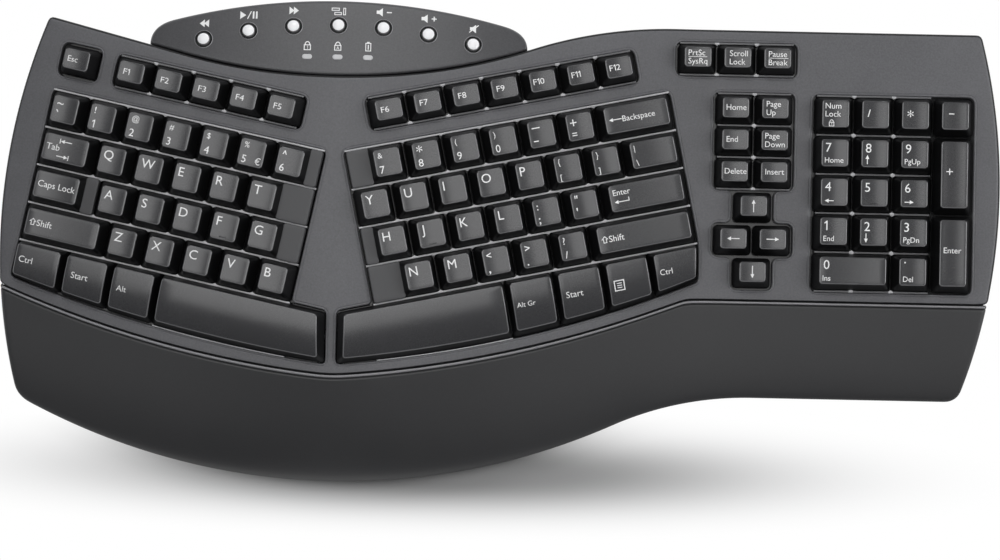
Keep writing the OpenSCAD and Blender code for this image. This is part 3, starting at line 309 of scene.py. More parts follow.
# name: colour, roughness, size and depth of the grain in mm, spread of the colour, and specular level
PLASTICS = {
    "deck_grey": ((0.097, 0.097, 0.104), 0.5, 0.9, 0.04, 0.5),
    "palm_grey": ((0.03, 0.03, 0.0315), 0.5, 0.7, 0.02, 0.3),
    # pale grey of the seam bead and of the bezels' outer edge: a painted highlight
    "painted_highlight_grey": ((0.24, 0.24, 0.25), 0.35, 0.7, 0.01, 0.1),
    "panel_grey": ((0.06, 0.06, 0.064), 0.34, 0.9, 0.03, 0.5),
    "cap_satin": ((0.042, 0.042, 0.0445), 0.27, 0.25, 0.004, 0.05, 0.75),
    "step_matt": ((0.057, 0.057, 0.06), 0.5, 0.25, 0.004, 0.05),
    # brighter rounded edge of the key tops on all sides but the back: a painted highlight
    "painted_edge_highlight": ((0.13, 0.13, 0.135), 0.3, 0.25, 0.002, 0.05, 0.75),
    # near-black sides of the caps and of the deck's rolled edge and wall: a painted shade on the same plastic
    # as their tops
    "painted_shade_black": ((0.006, 0.006, 0.0065), 0.38, 0.3, 0.002, 0.05, 0.25),
    "white_ink": ((0.8, 0.8, 0.8), 0.45, 0.2, 0.002, 0.03),
    # dark grey wall and lower rows of the white button domes: a painted shade towards the dome's edge
    "button_rim": ((0.16, 0.16, 0.165), 0.2, 6.0, 0.002, 0.02),
    "button_white": ((0.86, 0.86, 0.87), 0.16, 6.0, 0.002, 0.02),
    "bezel_black": ((0.012, 0.012, 0.013), 0.18, 0.4, 0.003, 0.05),
    "lens_frost": ((0.5, 0.5, 0.51), 0.3, 0.8, 0.01, 0.06),
    "rib_dim": ((0.13, 0.13, 0.135), 0.3, 0.4, 0.006, 0.1),
    # pale grey of the ribs, their spurs and the front lips: painted highlights, the light lines and glints
    # between the rows
    "painted_glint_grey": ((0.42, 0.42, 0.43), 0.28, 0.4, 0.006, 0.1),
    "base_black": ((0.02, 0.02, 0.021), 0.55, 0.6, 0.02, 0.12),
    "rubber_black": ((0.014, 0.014, 0.014), 0.85, 0.8, 0.03, 0.15, 0.3),
    "silicone_grey": ((0.35, 0.37, 0.4), 0.6, 1.2, 0.01, 0.05),
    "film_green": ((0.12, 0.26, 0.18), 0.3, 2.0, 0.002, 0.05),
    "board_green": ((0.02, 0.14, 0.05), 0.35, 0.7, 0.01, 0.08),
    "cell_gold": ((0.5, 0.36, 0.1), 0.3, 8.0, 0.002, 0.05),
}
finishes = {name: moulded(name, *values) for name, values in PLASTICS.items()}
finishes["brushed_steel"] = rolled_steel("brushed_steel")
print("finishes:", len(finishes))

# %% [markdown]
# ## From arrays to pieces
# A surface is a grid of points; its faces follow from the grid's shape alone. `make_piece` turns arrays
# into an object at the origin, gives it its finishes and makes it ride on a body of the frame. Building
# with Blender's own operators would work too, but they need a context and say less about the shape.

# %% Grid and piece helpers
def grid_faces(rows, cols, closed=False):
    """Quads between neighbouring points of a rows by cols grid; closed joins the last column to the first."""
    r = np.arange(rows - 1)[:, None]
    c = np.arange(cols if closed else cols - 1)[None, :]
    n = (c + 1) % cols
    return np.stack([r * cols + c, r * cols + n, (r + 1) * cols + n, (r + 1) * cols + c], -1).reshape(-1, 4)


def grid_shell(grid, index=0, closed=False, flip=False):
    """A grid of points with its faces and their finish; flip turns the faces over."""
    faces = grid_faces(*grid.shape[:2], closed)
    return grid, faces[:, ::-1] if flip else faces, index


def make_piece(name, shells, body, looks, replaced=(), sharp=40.0):
    """Joins shells of (points, faces, index into looks) into one smooth object and lets it ride on a body."""
    points, faces, index, start = [], [], [], 0
    for shell_points, shell_faces, shell_index in shells:
        points.append(shell_points.reshape(-1, 3))
        faces += [[start + int(i) for i in face] for face in shell_faces]
        index += np.broadcast_to(shell_index, len(shell_faces)).tolist()
        start += len(points[-1])
    mesh = bpy.data.meshes.new(name)
    mesh.from_pydata((np.concatenate(points) * MM).tolist(), [], faces)
    mesh.polygons.foreach_set("material_index", np.array(index, np.int32))
    for look in looks:
        mesh.materials.append(finishes[look])
    mesh.set_sharp_from_angle(angle=math.radians(sharp))
    obj = bpy.data.objects.new(name, mesh)
    bpy.context.scene.collection.objects.link(obj)
    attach(obj, body)
    if replaced:
        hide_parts(*replaced)
    return obj


def weld(obj, distance_mm=0.002):
    """Merges points that lie on each other."""
    work = bmesh.new()
    work.from_mesh(obj.data)
    bmesh.ops.remove_doubles(work, verts=work.verts, dist=distance_mm * MM)
    work.to_mesh(obj.data)
    work.free()
    return obj


print("helpers ready")

# %% [markdown]
# ## Loops: outlines in plan
# The deck is a sheet with an outer edge and a hole for each key well. Each outline is a closed loop of
# points, with rounded corners. A rim is then a profile carried along such a loop: offset by offset, drop by
# drop. Cutting the wells out with booleans would leave ragged edges where the thin lips have to sit.

# %% Loop helpers
def bow(a, corner, b, t):
    """Quadratic curve from a to b, leaving towards the corner and arriving from it."""
    return (1 - t) ** 2 * a + 2 * t * (1 - t) * corner + t**2 * b


def run_along(curve):
    """Distance of each point of an open curve from its start."""
    return np.concatenate([[0], np.cumsum(np.linalg.norm(np.diff(curve, axis=0), axis=1))])


def at_runs(curve, runs):
    """Points of an open curve at the given distances from its start."""
    along = run_along(curve)
    return np.stack([np.interp(runs, along, curve[:, k]) for k in (0, 1)], -1)


def share(curve, t):
    """Points at shares t of an open curve's length."""
    return at_runs(curve, np.asarray(t) * run_along(curve)[-1])


def resample(loop, step):
    """The same closed loop with points an equal distance apart, counter-clockwise."""
    x, y = loop[:, 0], loop[:, 1]
    if np.sum(x * np.roll(y, -1) - np.roll(x, -1) * y) < 0:
        loop = loop[::-1]
    ring = np.vstack([loop, loop[:1]])
    length = run_along(ring)[-1]
    return at_runs(ring, np.linspace(0, length, max(24, int(length / step)), endpoint=False))


def rounded_loop(corners, radius, step=1.2):
    """Closed polygon with each corner replaced by a curve that starts radius before it; evenly resampled."""
    p = np.asarray(corners, float)
    before, after = np.roll(p, 1, 0) - p, np.roll(p, -1, 0) - p
    len_before, len_after = np.linalg.norm(before, axis=1), np.linalg.norm(after, axis=1)
    cut = np.minimum(np.broadcast_to(radius, len(p)), np.minimum(len_before, len_after) / 2)[:, None]
    a, b = p + before / len_before[:, None] * cut, p + after / len_after[:, None] * cut
    curve = bow(a[:, None], p[:, None], b[:, None], np.linspace(0, 1, 9)[None, :, None])
    return resample(curve.reshape(-1, 2), step)


def join_curves(curves, radius):
    """Chains open curves into one closed polygon and rounds the corners where they meet."""
    trimmed, loop = [], []
    for curve in curves:
        along = run_along(curve)
        keep = (along > radius) & (along < along[-1] - radius)
        ends = at_runs(curve, [radius, along[-1] - radius])
        trimmed.append(np.vstack([ends[:1], curve[keep], ends[1:]]))
    t = np.linspace(0, 1, 11)[1:-1, None]
    for k, curve in enumerate(curves):
        after = trimmed[(k + 1) % len(curves)]
        loop += [trimmed[k], bow(trimmed[k][-1], curve[-1], after[0], t)]
    return np.vstack(loop)


def meeting(side_x, edge_y, x):
    """The corner where a side curve x(y) meets an edge curve y(x), by stepping from one to the other."""
    for _ in range(40):
        y = float(edge_y(np.array(x)))
        x = float(side_x(y))
    return x, y


def outward(loop):
    """Unit normals of a counter-clockwise loop, pointing out of it."""
    d = np.roll(loop, -1, 0) - np.roll(loop, 1, 0)
    n = np.stack([d[:, 1], -d[:, 0]], -1)
    return n / np.linalg.norm(n, axis=1, keepdims=True)


print("loop helpers ready")

# %% Sheets and strips
def strip(loop, profile, height, floor_z=None, size=1.0):
    """A profile of (offset, drop) pairs carried along a loop: each point moves out by offset and lies drop
    below the height there. With floor_z the last row ends level at that height; size scales the profile
    point by point."""
    profile = np.asarray(profile, float)
    size = np.broadcast_to(size, len(loop))
    plan = loop[None] + outward(loop)[None] * profile[:, :1, None] * size[None, :, None]
    z = height(plan[..., 0], plan[..., 1]) - profile[:, 1:] * size[None]
    if floor_z is not None:
        z[-1] = floor_z
    return np.dstack([plan, z])


def rolled_edge(r, wall):
    """Profile of a rounded edge: a quarter circle of radius r, then a wall whose foot is set by floor_z."""
    turn = np.linspace(0, math.pi / 2, 7)
    return [[r * (math.sin(a) - 1), r * (1 - math.cos(a))] for a in turn] + [[0.0, wall]] * 2


def sheet_with_holes(name, outer, holes, height, cuts):
    """Fills the plan between an outer loop and its holes, cuts it at the x values given, and lifts it to
    height(x, y)."""
    curve = bpy.data.curves.new(name, "CURVE")
    curve.dimensions, curve.fill_mode = "2D", "BOTH"
    for loop in [outer, *holes]:
        spline = curve.splines.new("POLY")
        spline.points.add(len(loop) - 1)
        flat = np.zeros((len(loop), 4))
        flat[:, :2], flat[:, 3] = loop, 1.0
        spline.points.foreach_set("co", flat.ravel())
        spline.use_cyclic_u = True
    carrier = bpy.data.objects.new(name, curve)
    work = bmesh.new()
    work.from_mesh(carrier.to_mesh())
    for x in cuts:
        everything = work.verts[:] + work.edges[:] + work.faces[:]
        bmesh.ops.bisect_plane(work, geom=everything, dist=1e-5, plane_co=(x, 0, 0), plane_no=(1, 0, 0))
    points = np.array([v.co for v in work.verts])
    work.verts.index_update()
    faces = [[v.index for v in (f.verts if f.normal.z > 0 else reversed(f.verts[:]))] for f in work.faces]
    work.free()
    carrier.to_mesh_clear()
    bpy.data.objects.remove(carrier)
    points[:, 2] = height(points[:, 0], points[:, 1])
    return points, faces


print("sheet helpers ready")

# %% [markdown]
# ## Frames of the keys
# Each letter block is turned and tilted; the numeric pad is flat. `on_block` carries points from a block's
# own axes to the object's, as the frame does, so that a row of keys is still a straight row where it is
# modelled. Modelling the keys in place would put the turn and the tilt into every formula.

# %% Block and pad frames
def on_block(side, p):
    """Turn about Z, tilt about Y by the tent, then move to the block's back corner at the split line."""
    turn, tilt = side * TURN, side * TILT
    p = np.asarray(p, float)
    x = p[..., 0] * math.cos(turn) - p[..., 1] * math.sin(turn)
    y = p[..., 0] * math.sin(turn) + p[..., 1] * math.cos(turn)
    z = p[..., 2]
    out_x = SPLIT_X + side * BLOCK_GAP + x * math.cos(tilt) + z * math.sin(tilt)
    return np.stack([out_x, BLOCK_Y + y, BLOCK_Z - x * math.sin(tilt) + z * math.cos(tilt)], -1)


def on_pad(p):
    """The flat pad only lifts its points."""
    return np.asarray(p, float) + [0, 0, PAD_Z]


def block_plan(side, corners):
    """Corners in a block's axes, seen from above."""
    corners = np.asarray(corners, float)
    return on_block(side, np.column_stack([corners, np.zeros(len(corners))]))[:, :2]


def split_local_x(side, y, gap):
    """Where the line gap away from the split line crosses height y of a block."""
    turn = side * TURN
    return (side * (gap - BLOCK_GAP) / math.cos(TILT) + y * math.sin(turn)) / math.cos(turn)


def front_local_y(side, x, inset):
    """Front arc of the bottom row in a block's axes: the lower root of the circle's equation."""
    turn, r, arc_x = side * TURN, SPACE_R[side], SPACE_ARC_X[side]
    x = np.asarray(x, float)
    ax = side * (BLOCK_GAP + arc_x) + x * math.cos(turn) * math.cos(TILT)
    ay = BLOCK_Y - SPACE_FRONT_Y - math.sqrt(r * r - (arc_x + SPACE_GAP) ** 2) + x * math.sin(turn)
    bx, by = -math.sin(turn) * math.cos(TILT), math.cos(turn)
    a, b, c = bx * bx + by * by, 2 * (ax * bx + ay * by), ax * ax + ay * ay - (r - inset) ** 2
    return (-b - np.sqrt(b * b - 4 * a * c)) / (2 * a)


print("block origins:", on_block(-1, np.zeros(3)), on_block(1, np.zeros(3)))

# %% [markdown]
# ## Key wells
# Every group of keys sits in a well of the deck. The two large wells follow the stepped inner edge of the
# blocks and the curved front of the bottom row; the arrow keys sit in a cross. A hole for each key would be
# simpler, but then the dark gaps between the keys would be lost.

# %% Well outlines
WELL_R, FRONT_WELL_R, FIRST_FRONT_Y = 3.4, 2.2, -104.0


def block_well(side):
    """Outline of a letter block's well: five straight edges and the front arc, whose two ends are found by
    stepping; the two back corners are rounder."""
    inner, outer = -side * WELL_GAP, side * (BLOCK_SPAN[side] + WELL_GAP)
    low = LOW_Y + WELL_GAP
    x_in, x_out = split_local_x(side, FIRST_FRONT_Y, SPACE_GAP), outer
    for _ in range(20):
        x_in = split_local_x(side, float(front_local_y(side, x_in, 0.0)), SPACE_GAP)
        x_out = outer - side * OUTER_CUT[side] * (LOW_Y - float(front_local_y(side, x_out, 0.0)))
    front_x = np.linspace(x_out, x_in, 25)
    front = np.column_stack([front_x, front_local_y(side, front_x, 0.0)])
    step = [[split_local_x(side, low, SPACE_GAP), low], [inner, low]]
    corners = np.vstack([[[inner, WELL_GAP], [outer, WELL_GAP], [outer, LOW_Y]], front, step])
    radius = np.where(np.arange(len(corners)) < 2, WELL_R, FRONT_WELL_R)
    return rounded_loop(block_plan(side, corners), radius)


def box_well(cx, cy, w, d, side=0):
    """Outline of a rectangular well, on a block or on the pad."""
    w, d = w / 2 + WELL_GAP, d / 2 + WELL_GAP
    corners = np.array([[cx - w, cy - d], [cx + w, cy - d], [cx + w, cy + d], [cx - w, cy + d]])
    return rounded_loop(block_plan(side, corners) if side else corners, WELL_R)


def cross_well():
    """Outline of the navigation and arrow keys: half of it is written, and the rest mirrored."""
    wide, slim, half_d = NAV_PX + WELL_GAP, NAV_PX / 2 + WELL_GAP, NAV_PY / 2 + WELL_GAP
    top, foot = NAV_Y + NAV_PY + half_d, NAV_Y - NAV_PY - half_d
    arrow_top, arrow_foot = ARROW_Y + half_d, ARROW_Y - half_d
    half = [[wide, top], [wide, foot], [slim, foot], [slim, arrow_top], [wide, arrow_top]]
    half += [[wide, arrow_foot], [slim, arrow_foot], [slim, arrow_foot - ARROW_PITCH]]
    right = np.array(half)
    return rounded_loop(np.vstack([right, right[::-1] * [-1, 1]]) + [NAV_X, 0], WELL_R)


def fkey_middle(side, count):
    """Middle of a row of function keys in its block's axes."""
    return side * (FKEY_START + count / 2) * PITCH


wells = {
    "left_block": block_well(-1),
    "right_block": block_well(1),
    "left_function": box_well(fkey_middle(-1, 5), FKEY_Y, 5 * PITCH, FKEY_D, -1),
    "right_function": box_well(fkey_middle(1, 7), FKEY_Y, 7 * PITCH, FKEY_D, 1),
    "escape": box_well(ESC_X, FKEY_Y, PITCH, FKEY_D, -1),
    "system": box_well(SYS_X, SYS_Y, 3 * SYS_PITCH, FKEY_D),
    "navigation": cross_well(),
    "numeric": box_well(NUM_X, NUM_Y, 4 * NUM_PX, 5 * NUM_PY),
}
print("well outlines:", {name: len(loop) for name, loop in wells.items()})

# %% [markdown]
# ## The deck
# The deck is one sheet over the tent. Round each well runs a fine groove and a small rounded lip, which is
# what catches the light in a thin line; the outer edge rolls over into the side wall, and is sharper at the
# seam.

# %% Deck outline
EDGE_R, SEAM_EDGE_R, DECK_CORNER, OUTLINE_STEP = 2.2, 0.6, 2.5, 1.5
SEAM_NEAR, DECK_WALL = 0.4, 4.2


def edge_points(curve, x0, x1, n):
    """Points of an edge curve y(x) at even steps of x."""
    x = np.linspace(x0, x1, n)
    return np.column_stack([x, curve(x)])


def side_points(curve, y0, y1, n=120):
    """Points of a side curve x(y) at even steps of y."""
    y = np.linspace(y0, y1, n)
    return np.column_stack([curve(y), y])


seam_l, seam_r = meeting(left_x, seam_y, -240.0), meeting(right_x, seam_y, 235.0)
rear_l, rear_r = meeting(left_x, rear_y, -225.0), meeting(right_x, rear_y, 225.0)
deck_edges = [edge_points(seam_y, seam_l[0], seam_r[0], 240), side_points(right_x, seam_r[1], rear_r[1])]
deck_edges += [edge_points(rear_y, rear_r[0], rear_l[0], 240), side_points(left_x, rear_l[1], seam_l[1])]
deck_outline = resample(join_curves(deck_edges, DECK_CORNER), OUTLINE_STEP)
at_seam = np.abs(deck_outline[:, 1] - seam_y(deck_outline[:, 0])) < SEAM_NEAR
edge_size = np.where(at_seam, SEAM_EDGE_R / EDGE_R, 1.0)
edge_size = np.mean([np.roll(edge_size, k) for k in range(-3, 4)], 0)
print("deck corners:", np.round([seam_l, seam_r, rear_l, rear_r], 1).tolist())

# %% Deck skin
def deck_height(x, y):
    """The tent's height, the same all along y."""
    return deck_z(x) + 0.0 * y


# offset and drop from the deck, over the groove and the lip, down into the well
rim_profile = [[1.7, 0], [1.35, 0], [1.2, 0.14], [1.08, 0.16], [0.95, 0.02], [0.8, -0.06], [0.5, -0.06]]
rim_profile += [[0.25, 0.05], [0.08, 0.3], [0.0, 0.8], [0.0, WELL_DEPTH]]
ridge_cuts = SPLIT_X + RIDGE_R * np.sin(TILT * np.linspace(-1, 1, 13))
valley_cuts = VALLEY_X + VALLEY_R * math.tan(TILT / 2) * np.linspace(-1, 1, 9)
deck_inner = deck_outline - outward(deck_outline) * EDGE_R * edge_size[:, None]
rims = [loop + outward(loop) * rim_profile[0][0] for loop in wells.values()]
deck_sheet = sheet_with_holes("deck_sheet", deck_inner, rims, deck_height, [*ridge_cuts, *valley_cuts])
edge = strip(deck_outline, rolled_edge(EDGE_R, DECK_WALL), deck_height, JOINT_Z, edge_size)
# most of the rolled edge and the side wall below it are coloured near black: a painted shade
painted_shade_rows = np.repeat((np.arange(len(edge) - 1) > 1).astype(int), edge.shape[1])
shells = [(*deck_sheet, 0), grid_shell(edge, painted_shade_rows, closed=True, flip=True)]
shells += [grid_shell(strip(loop, rim_profile, deck_height), closed=True) for loop in wells.values()]
deck_looks = ["deck_grey", "painted_shade_black"]
deck = weld(make_piece("deck_skin", shells, "case", deck_looks, ["top_case"], SHEET_SHARP))
print("deck faces:", len(deck.data.polygons))

# %% [markdown]
# ## The palm rest
# The palm rest lies between four curves: the seam, the front edge and the two sides. A blended patch takes
# all four, which a lofted row of sections could not do without creases at the corners. Its height falls from
# the seam to the front in a long roll, and a fine bead between two grooves runs along the seam; the bead is
# coloured pale, a painted highlight along its rounded top.

# %% Palm rest edges
CORNER_R = 6.0


def halved_corner(a, b, radius):
    """Rounds the corner between two open curves and gives each of them half of the arc."""
    cut_a, cut_b = radius / run_along(a)[-1], radius / run_along(b)[-1]
    start, end = share(a, [1 - cut_a])[0], share(b, [cut_b])[0]
    curve = bow(start, a[-1], end, np.linspace(0, 1, 17)[:, None])
    new_a = np.vstack([share(a, np.linspace(0, 1 - cut_a, 120)), curve[1:9]])
    new_b = np.vstack([curve[8:-1], share(b, np.linspace(cut_b, 1, 300))])
    return new_a, new_b


front_l, front_r = meeting(left_x, front_y, -232.0), meeting(right_x, front_y, 228.0)
palm_seam = edge_points(lambda x: seam_y(x) - SEAT_GAP, seam_l[0], seam_r[0], 300)
palm_left = side_points(left_x, palm_seam[0, 1], front_l[1])
palm_right = side_points(right_x, palm_seam[-1, 1], front_r[1])
palm_front = edge_points(front_y, front_l[0], front_r[0], 300)
palm_left, palm_front = halved_corner(palm_left, palm_front, CORNER_R)
palm_right, back_to_front = halved_corner(palm_right, palm_front[::-1], CORNER_R)
palm_front = back_to_front[::-1]
print("palm rest corners:", np.round([front_l, front_r], 1).tolist())

# %% Palm rest skin
PALM_SLOPE, PALM_SIDE_R, PALM_DEPTH, PALM_START, PALM_ROWS, PALM_COLS = 0.55, 2.5, 47.0, 4.5, 40, 260
# the pale rows are the bead's painted highlight
BEAD_ROWS, BEAD_END = (2, 7), 3  # the pale rows of the grid, and the columns at its ends that stay dark
# distance from the seam and drop: a groove, the bead, another groove
bead = [[0, 3.0], [0.3, 2.6], [0.5, 0.6], [0.62, 0.12], [0.85, -0.05], [1.2, -0.05], [1.45, 0.12]]
bead += [[1.55, 0.6], [1.75, 1.2], [2.05, 1.0], [2.2, 0.3], [2.45, 0.03], [3.0, 0.0]]
bead_in, bead_drop = np.array(bead).T
roll_turn = np.linspace(math.asin(PALM_START / PALM_DEPTH), math.pi / 2, PALM_ROWS)
palm_w = np.concatenate([bead_in / PALM_DEPTH, np.sin(roll_turn)])
palm_drop = np.concatenate([bead_drop, np.zeros(PALM_ROWS)])
near = np.array([0.0, 0.15, 0.5, 1.0, 1.7, 2.5]) / (2 * HALF_W)
palm_s = np.concatenate([near, np.linspace(0.008, 0.992, PALM_COLS), 1 - near[::-1]])


def blended_patch(s, w, seam, front, left, right):
    """Sum of the two ruled surfaces between facing curves, less the bilinear surface of the four corners."""
    seam_side, front_side = share(seam, s)[None], share(front, s)[None]
    left_side, right_side = share(left, w)[:, None], share(right, w)[:, None]
    s, w = s[None, :, None], w[:, None, None]
    corners = (1 - s) * (1 - w) * seam[0] + s * (1 - w) * seam[-1]
    corners = corners + (1 - s) * w * front[0] + s * w * front[-1]
    return (1 - w) * seam_side + w * front_side + (1 - s) * left_side + s * right_side - corners


def palm_surface():
    """Blended patch in plan; height rolls from the seam to the joint line, and the side edges are rounded."""
    plan = blended_patch(palm_s, palm_w, palm_seam, palm_front, palm_left, palm_right)
    w = palm_w[:, None]
    roll = PALM_SLOPE * (1 - w) + (1 - PALM_SLOPE) * np.sqrt(np.maximum(1 - w**4, 0))
    z = JOINT_Z + (deck_z(plan[..., 0]) - SEAM_STEP - JOINT_Z) * roll - palm_drop[:, None]
    inset = np.minimum(palm_s, 1 - palm_s) * 2 * HALF_W
    rounding = PALM_SIDE_R - arc(PALM_SIDE_R, np.maximum(PALM_SIDE_R - inset, 0))
    z = np.maximum(z - rounding[None] * roll, JOINT_Z)
    ends = np.full((len(palm_w), 1), JOINT_Z)
    plan = np.concatenate([plan[:, :1], plan, plan[:, -1:]], 1)
    return np.dstack([plan, np.concatenate([ends, z, ends], 1)])


palm = palm_surface()
rows, cols = palm.shape[:2]
# rows of the bead, coloured pale: a painted highlight along its rounded top
bead_highlight = (np.arange(rows - 1) >= BEAD_ROWS[0]) & (np.arange(rows - 1) < BEAD_ROWS[1])
within = (np.arange(cols - 1) > BEAD_END) & (np.arange(cols - 1) < cols - 2 - BEAD_END)
palm_index = (bead_highlight[:, None] & within[None]).astype(int).ravel()
palm_shell = grid_shell(palm, palm_index, flip=True)
palm_looks = ["palm_grey", "painted_highlight_grey"]
make_piece("palm_rest_skin", [palm_shell], "case", palm_looks, ["palm_rest"], PALM_SHARP)
print("palm rest grid:", palm.shape)

# %% [markdown]
# ## The media panel
# Behind the deck lies a lens-shaped plate that slopes to the back and is slightly arched across. It is
# filled in plan like the deck, with holes for the buttons; a bent grid would have to be cut for them. What
# sits on it is placed by `on_panel`, so that each button and sign stands square to the slope.

# %% Frame of the panel
PANEL_HALF_W, PANEL_R, PANEL_END_R, PANEL_Z = 91.0, 315.0, 11.0, 33.0
PANEL_TILT, ARCH_R, PANEL_GAP, PANEL_EDGE_R, PANEL_WALL = 12.0, 600.0, 0.4, 1.6, 4.0
PANEL_STEP, CUT_HALF, CUT_COUNT, HOLE_LAP = 1.2, 88.0, 45, 0.2
BUTTON_PITCH, BUTTON_INSET, BUTTON_R, BUTTON_H, BEZEL_W, BUTTON_GAP = 21.6, 12.2, 3.2, 1.8, 1.0, 0.3
LENS_PITCH, LENS_INSET, LENS_W, LENS_D = 14.6, 9.2, 4.8, 2.5
PANEL_SIN, PANEL_COS = math.sin(math.radians(PANEL_TILT)), math.cos(math.radians(PANEL_TILT))
BEZEL_IN, BEZEL_OUT = BUTTON_R + BUTTON_GAP, BUTTON_R + BUTTON_GAP + BEZEL_W
LENS_Y = LENS_INSET / PANEL_COS
BUTTON_SPOTS, LENS_SPOTS = range(-3, 4), range(-1, 2)


def panel_z(x, y):
    """The panel's arch across, tilted to the back."""
    arch = arc(ARCH_R, x - SPLIT_X) - ARCH_R
    along = (y - DECK_BACK_Y - arch * PANEL_SIN) / PANEL_COS
    return PANEL_Z - along * PANEL_SIN + arch * PANEL_COS


def on_panel(x, y, z=0.0):
    """A point of the panel: x across from the split line, y along the slope, z off the surface."""
    x, y, z = np.broadcast_arrays(np.asarray(x, float), y, z)
    lean = np.arcsin(x / ARCH_R)
    arch = arc(ARCH_R, x) - ARCH_R + z * np.cos(lean)
    out_x, out_y = SPLIT_X + x + z * np.sin(lean), DECK_BACK_Y + y * PANEL_COS + arch * PANEL_SIN
    return np.stack([out_x, out_y, PANEL_Z - y * PANEL_SIN + arch * PANEL_COS], -1)


def button_y(i):
    """Distance of button i along the slope: the buttons follow the back edge."""
    back = HALF_D - PANEL_R + math.sqrt((PANEL_R - BUTTON_INSET) ** 2 - (i * BUTTON_PITCH) ** 2)
    return (back - DECK_BACK_Y) / PANEL_COS


print("buttons along the slope:", [round(button_y(i), 1) for i in BUTTON_SPOTS])

# %% Media panel skin
def panel_loop():
    """Deck side from left to right, then the back arc; at the tips a curve of PANEL_END_R that starts upright
    and runs on into the arc."""
    x = SPLIT_X + np.linspace(-PANEL_HALF_W, PANEL_HALF_W, 240)
    deck_side = np.column_stack([x, rear_y(x) + PANEL_GAP])
    inner = x[np.abs(x - SPLIT_X) < PANEL_HALF_W - PANEL_END_R]
    back = np.column_stack([inner, HALF_D - PANEL_R + arc(PANEL_R, inner - SPLIT_X)])[::-1]
    t = np.linspace(0, 1, 24)[1:-1, None]

    def tip(deck_end, back_end):
        across = back_end[0] - SPLIT_X
        fall = -across / math.sqrt(PANEL_R**2 - across**2)
        corner = np.array([deck_end[0], back_end[1] + fall * (deck_end[0] - back_end[0])])
        return bow(deck_end, corner, back_end, t)

    right_tip, left_tip = tip(deck_side[-1], back[0]), tip(deck_side[0], back[-1])[::-1]
    return resample(np.vstack([deck_side, right_tip, back, left_tip]), PANEL_STEP)


def circle_loop(centre, r, n=32):
    """A circle as a loop of n points."""
    a = np.linspace(0, 2 * math.pi, n, endpoint=False)
    return centre + r * np.column_stack([np.cos(a), np.sin(a)])


panel_edge = panel_loop()
button_at = [on_panel(i * BUTTON_PITCH, button_y(i)) for i in BUTTON_SPOTS]
holes = [circle_loop(p[:2], BEZEL_OUT - HOLE_LAP) for p in button_at]
panel_cuts = SPLIT_X + np.linspace(-CUT_HALF, CUT_HALF, CUT_COUNT)
panel_inner = panel_edge - outward(panel_edge) * PANEL_EDGE_R
panel_sheet = sheet_with_holes("panel_sheet", panel_inner, holes, panel_z, panel_cuts)
panel_wall = strip(panel_edge, rolled_edge(PANEL_EDGE_R, PANEL_WALL), panel_z, JOINT_Z)
panel_shells = [(*panel_sheet, 0), grid_shell(panel_wall, closed=True, flip=True)]
panel = make_piece(
    "media_panel_skin", panel_shells, "case", ["panel_grey"], ["media_panel"], SHEET_SHARP
)
weld(panel)
print("panel faces:", len(panel.data.polygons))

# %% [markdown]
# ## Key caps
# A real cap is a thin moulded cup: leaning walls, a smaller top with a rounded edge, and a shallow trough
# for the finger. A chain of rounded rectangles gives all of it, from the rim inside, over the wall, to the
# middle of the top. A bevelled box would look alike from afar, but its top could not be hollow.

# %% Rings and lofts
ARC_N, EDGE_N = 6, 6
CAP_CORNER, TOP_CORNER, CAP_WALL, FILLET = 2.0, 1.6, 1.3, 0.6
ROUND_STEPS = np.radians([30, 60, 90])
ROUND_IN, ROUND_DROP = 1 - np.cos(ROUND_STEPS), 1 - np.sin(ROUND_STEPS)
# one value for each ring: the hollow, its rim, the outer rim, three up the wall and three over the edge
LEAN = np.array([1, 0, 0, 0.33, 0.66, 1, 1, 1, 1])
INSET = np.concatenate([[CAP_WALL, CAP_WALL, 0, 0, 0, 0], FILLET * ROUND_IN])
SKIRT_ROWS, EDGE_ROWS = 6, 2
WALL, ROUNDED = slice(2, 6), slice(6, 9)
SHRINK = np.array([0.8, 0.55, 0.3, 0.1])[:, None]


def rounded_rings(xl, xr, yf, yb, r):
    """Rounded rectangles, one per row: arcs of radius r at the corners and evenly spread points between."""
    sizes = [np.atleast_1d(np.asarray(v, float)) for v in (xl, xr, yf, yb, r)]
    xl, xr, yf, yb, r = np.broadcast_arrays(*sizes)
    angle = np.radians(np.array([-90, 0, 90, 180])[:, None] + np.linspace(0, 90, ARC_N))
    x = np.stack([xr - r, xr - r, xl + r, xl + r], -1)[..., None] + r[:, None, None] * np.cos(angle)
    y = np.stack([yf + r, yb - r, yb - r, yf + r], -1)[..., None] + r[:, None, None] * np.sin(angle)
    t = np.linspace(0, 1, EDGE_N + 2)[1:-1]

    def with_edges(p):
        between = p[..., -1:] + (np.roll(p[..., :1], -1, 1) - p[..., -1:]) * t
        return np.concatenate([p, between], -1).reshape(len(p), -1)

    return with_edges(x), with_edges(y)


def with_middle(x, y):
    """Adds ever smaller copies of the last ring towards its middle."""
    cx, cy = x[-1].mean(), y[-1].mean()
    return np.vstack([x, cx + SHRINK * (x[-1] - cx)]), np.vstack([y, cy + SHRINK * (y[-1] - cy)])


def closed_loft(rings):
    """Faces between rings, with a fan to the middle of the first and of the last ring: a closed shell."""
    rows, cols = rings.shape[:2]
    points = np.vstack([rings.reshape(-1, 3), rings[0].mean(0)[None], rings[-1].mean(0)[None]])
    c = np.arange(cols)
    n = (c + 1) % cols
    last_row = (rows - 1) * cols
    first = np.column_stack([np.full(cols, rows * cols), n, c])
    last = np.column_stack([last_row + c, last_row + n, np.full(cols, rows * cols + 1)])
    return points, [*grid_faces(rows, cols, closed=True), *first, *last]


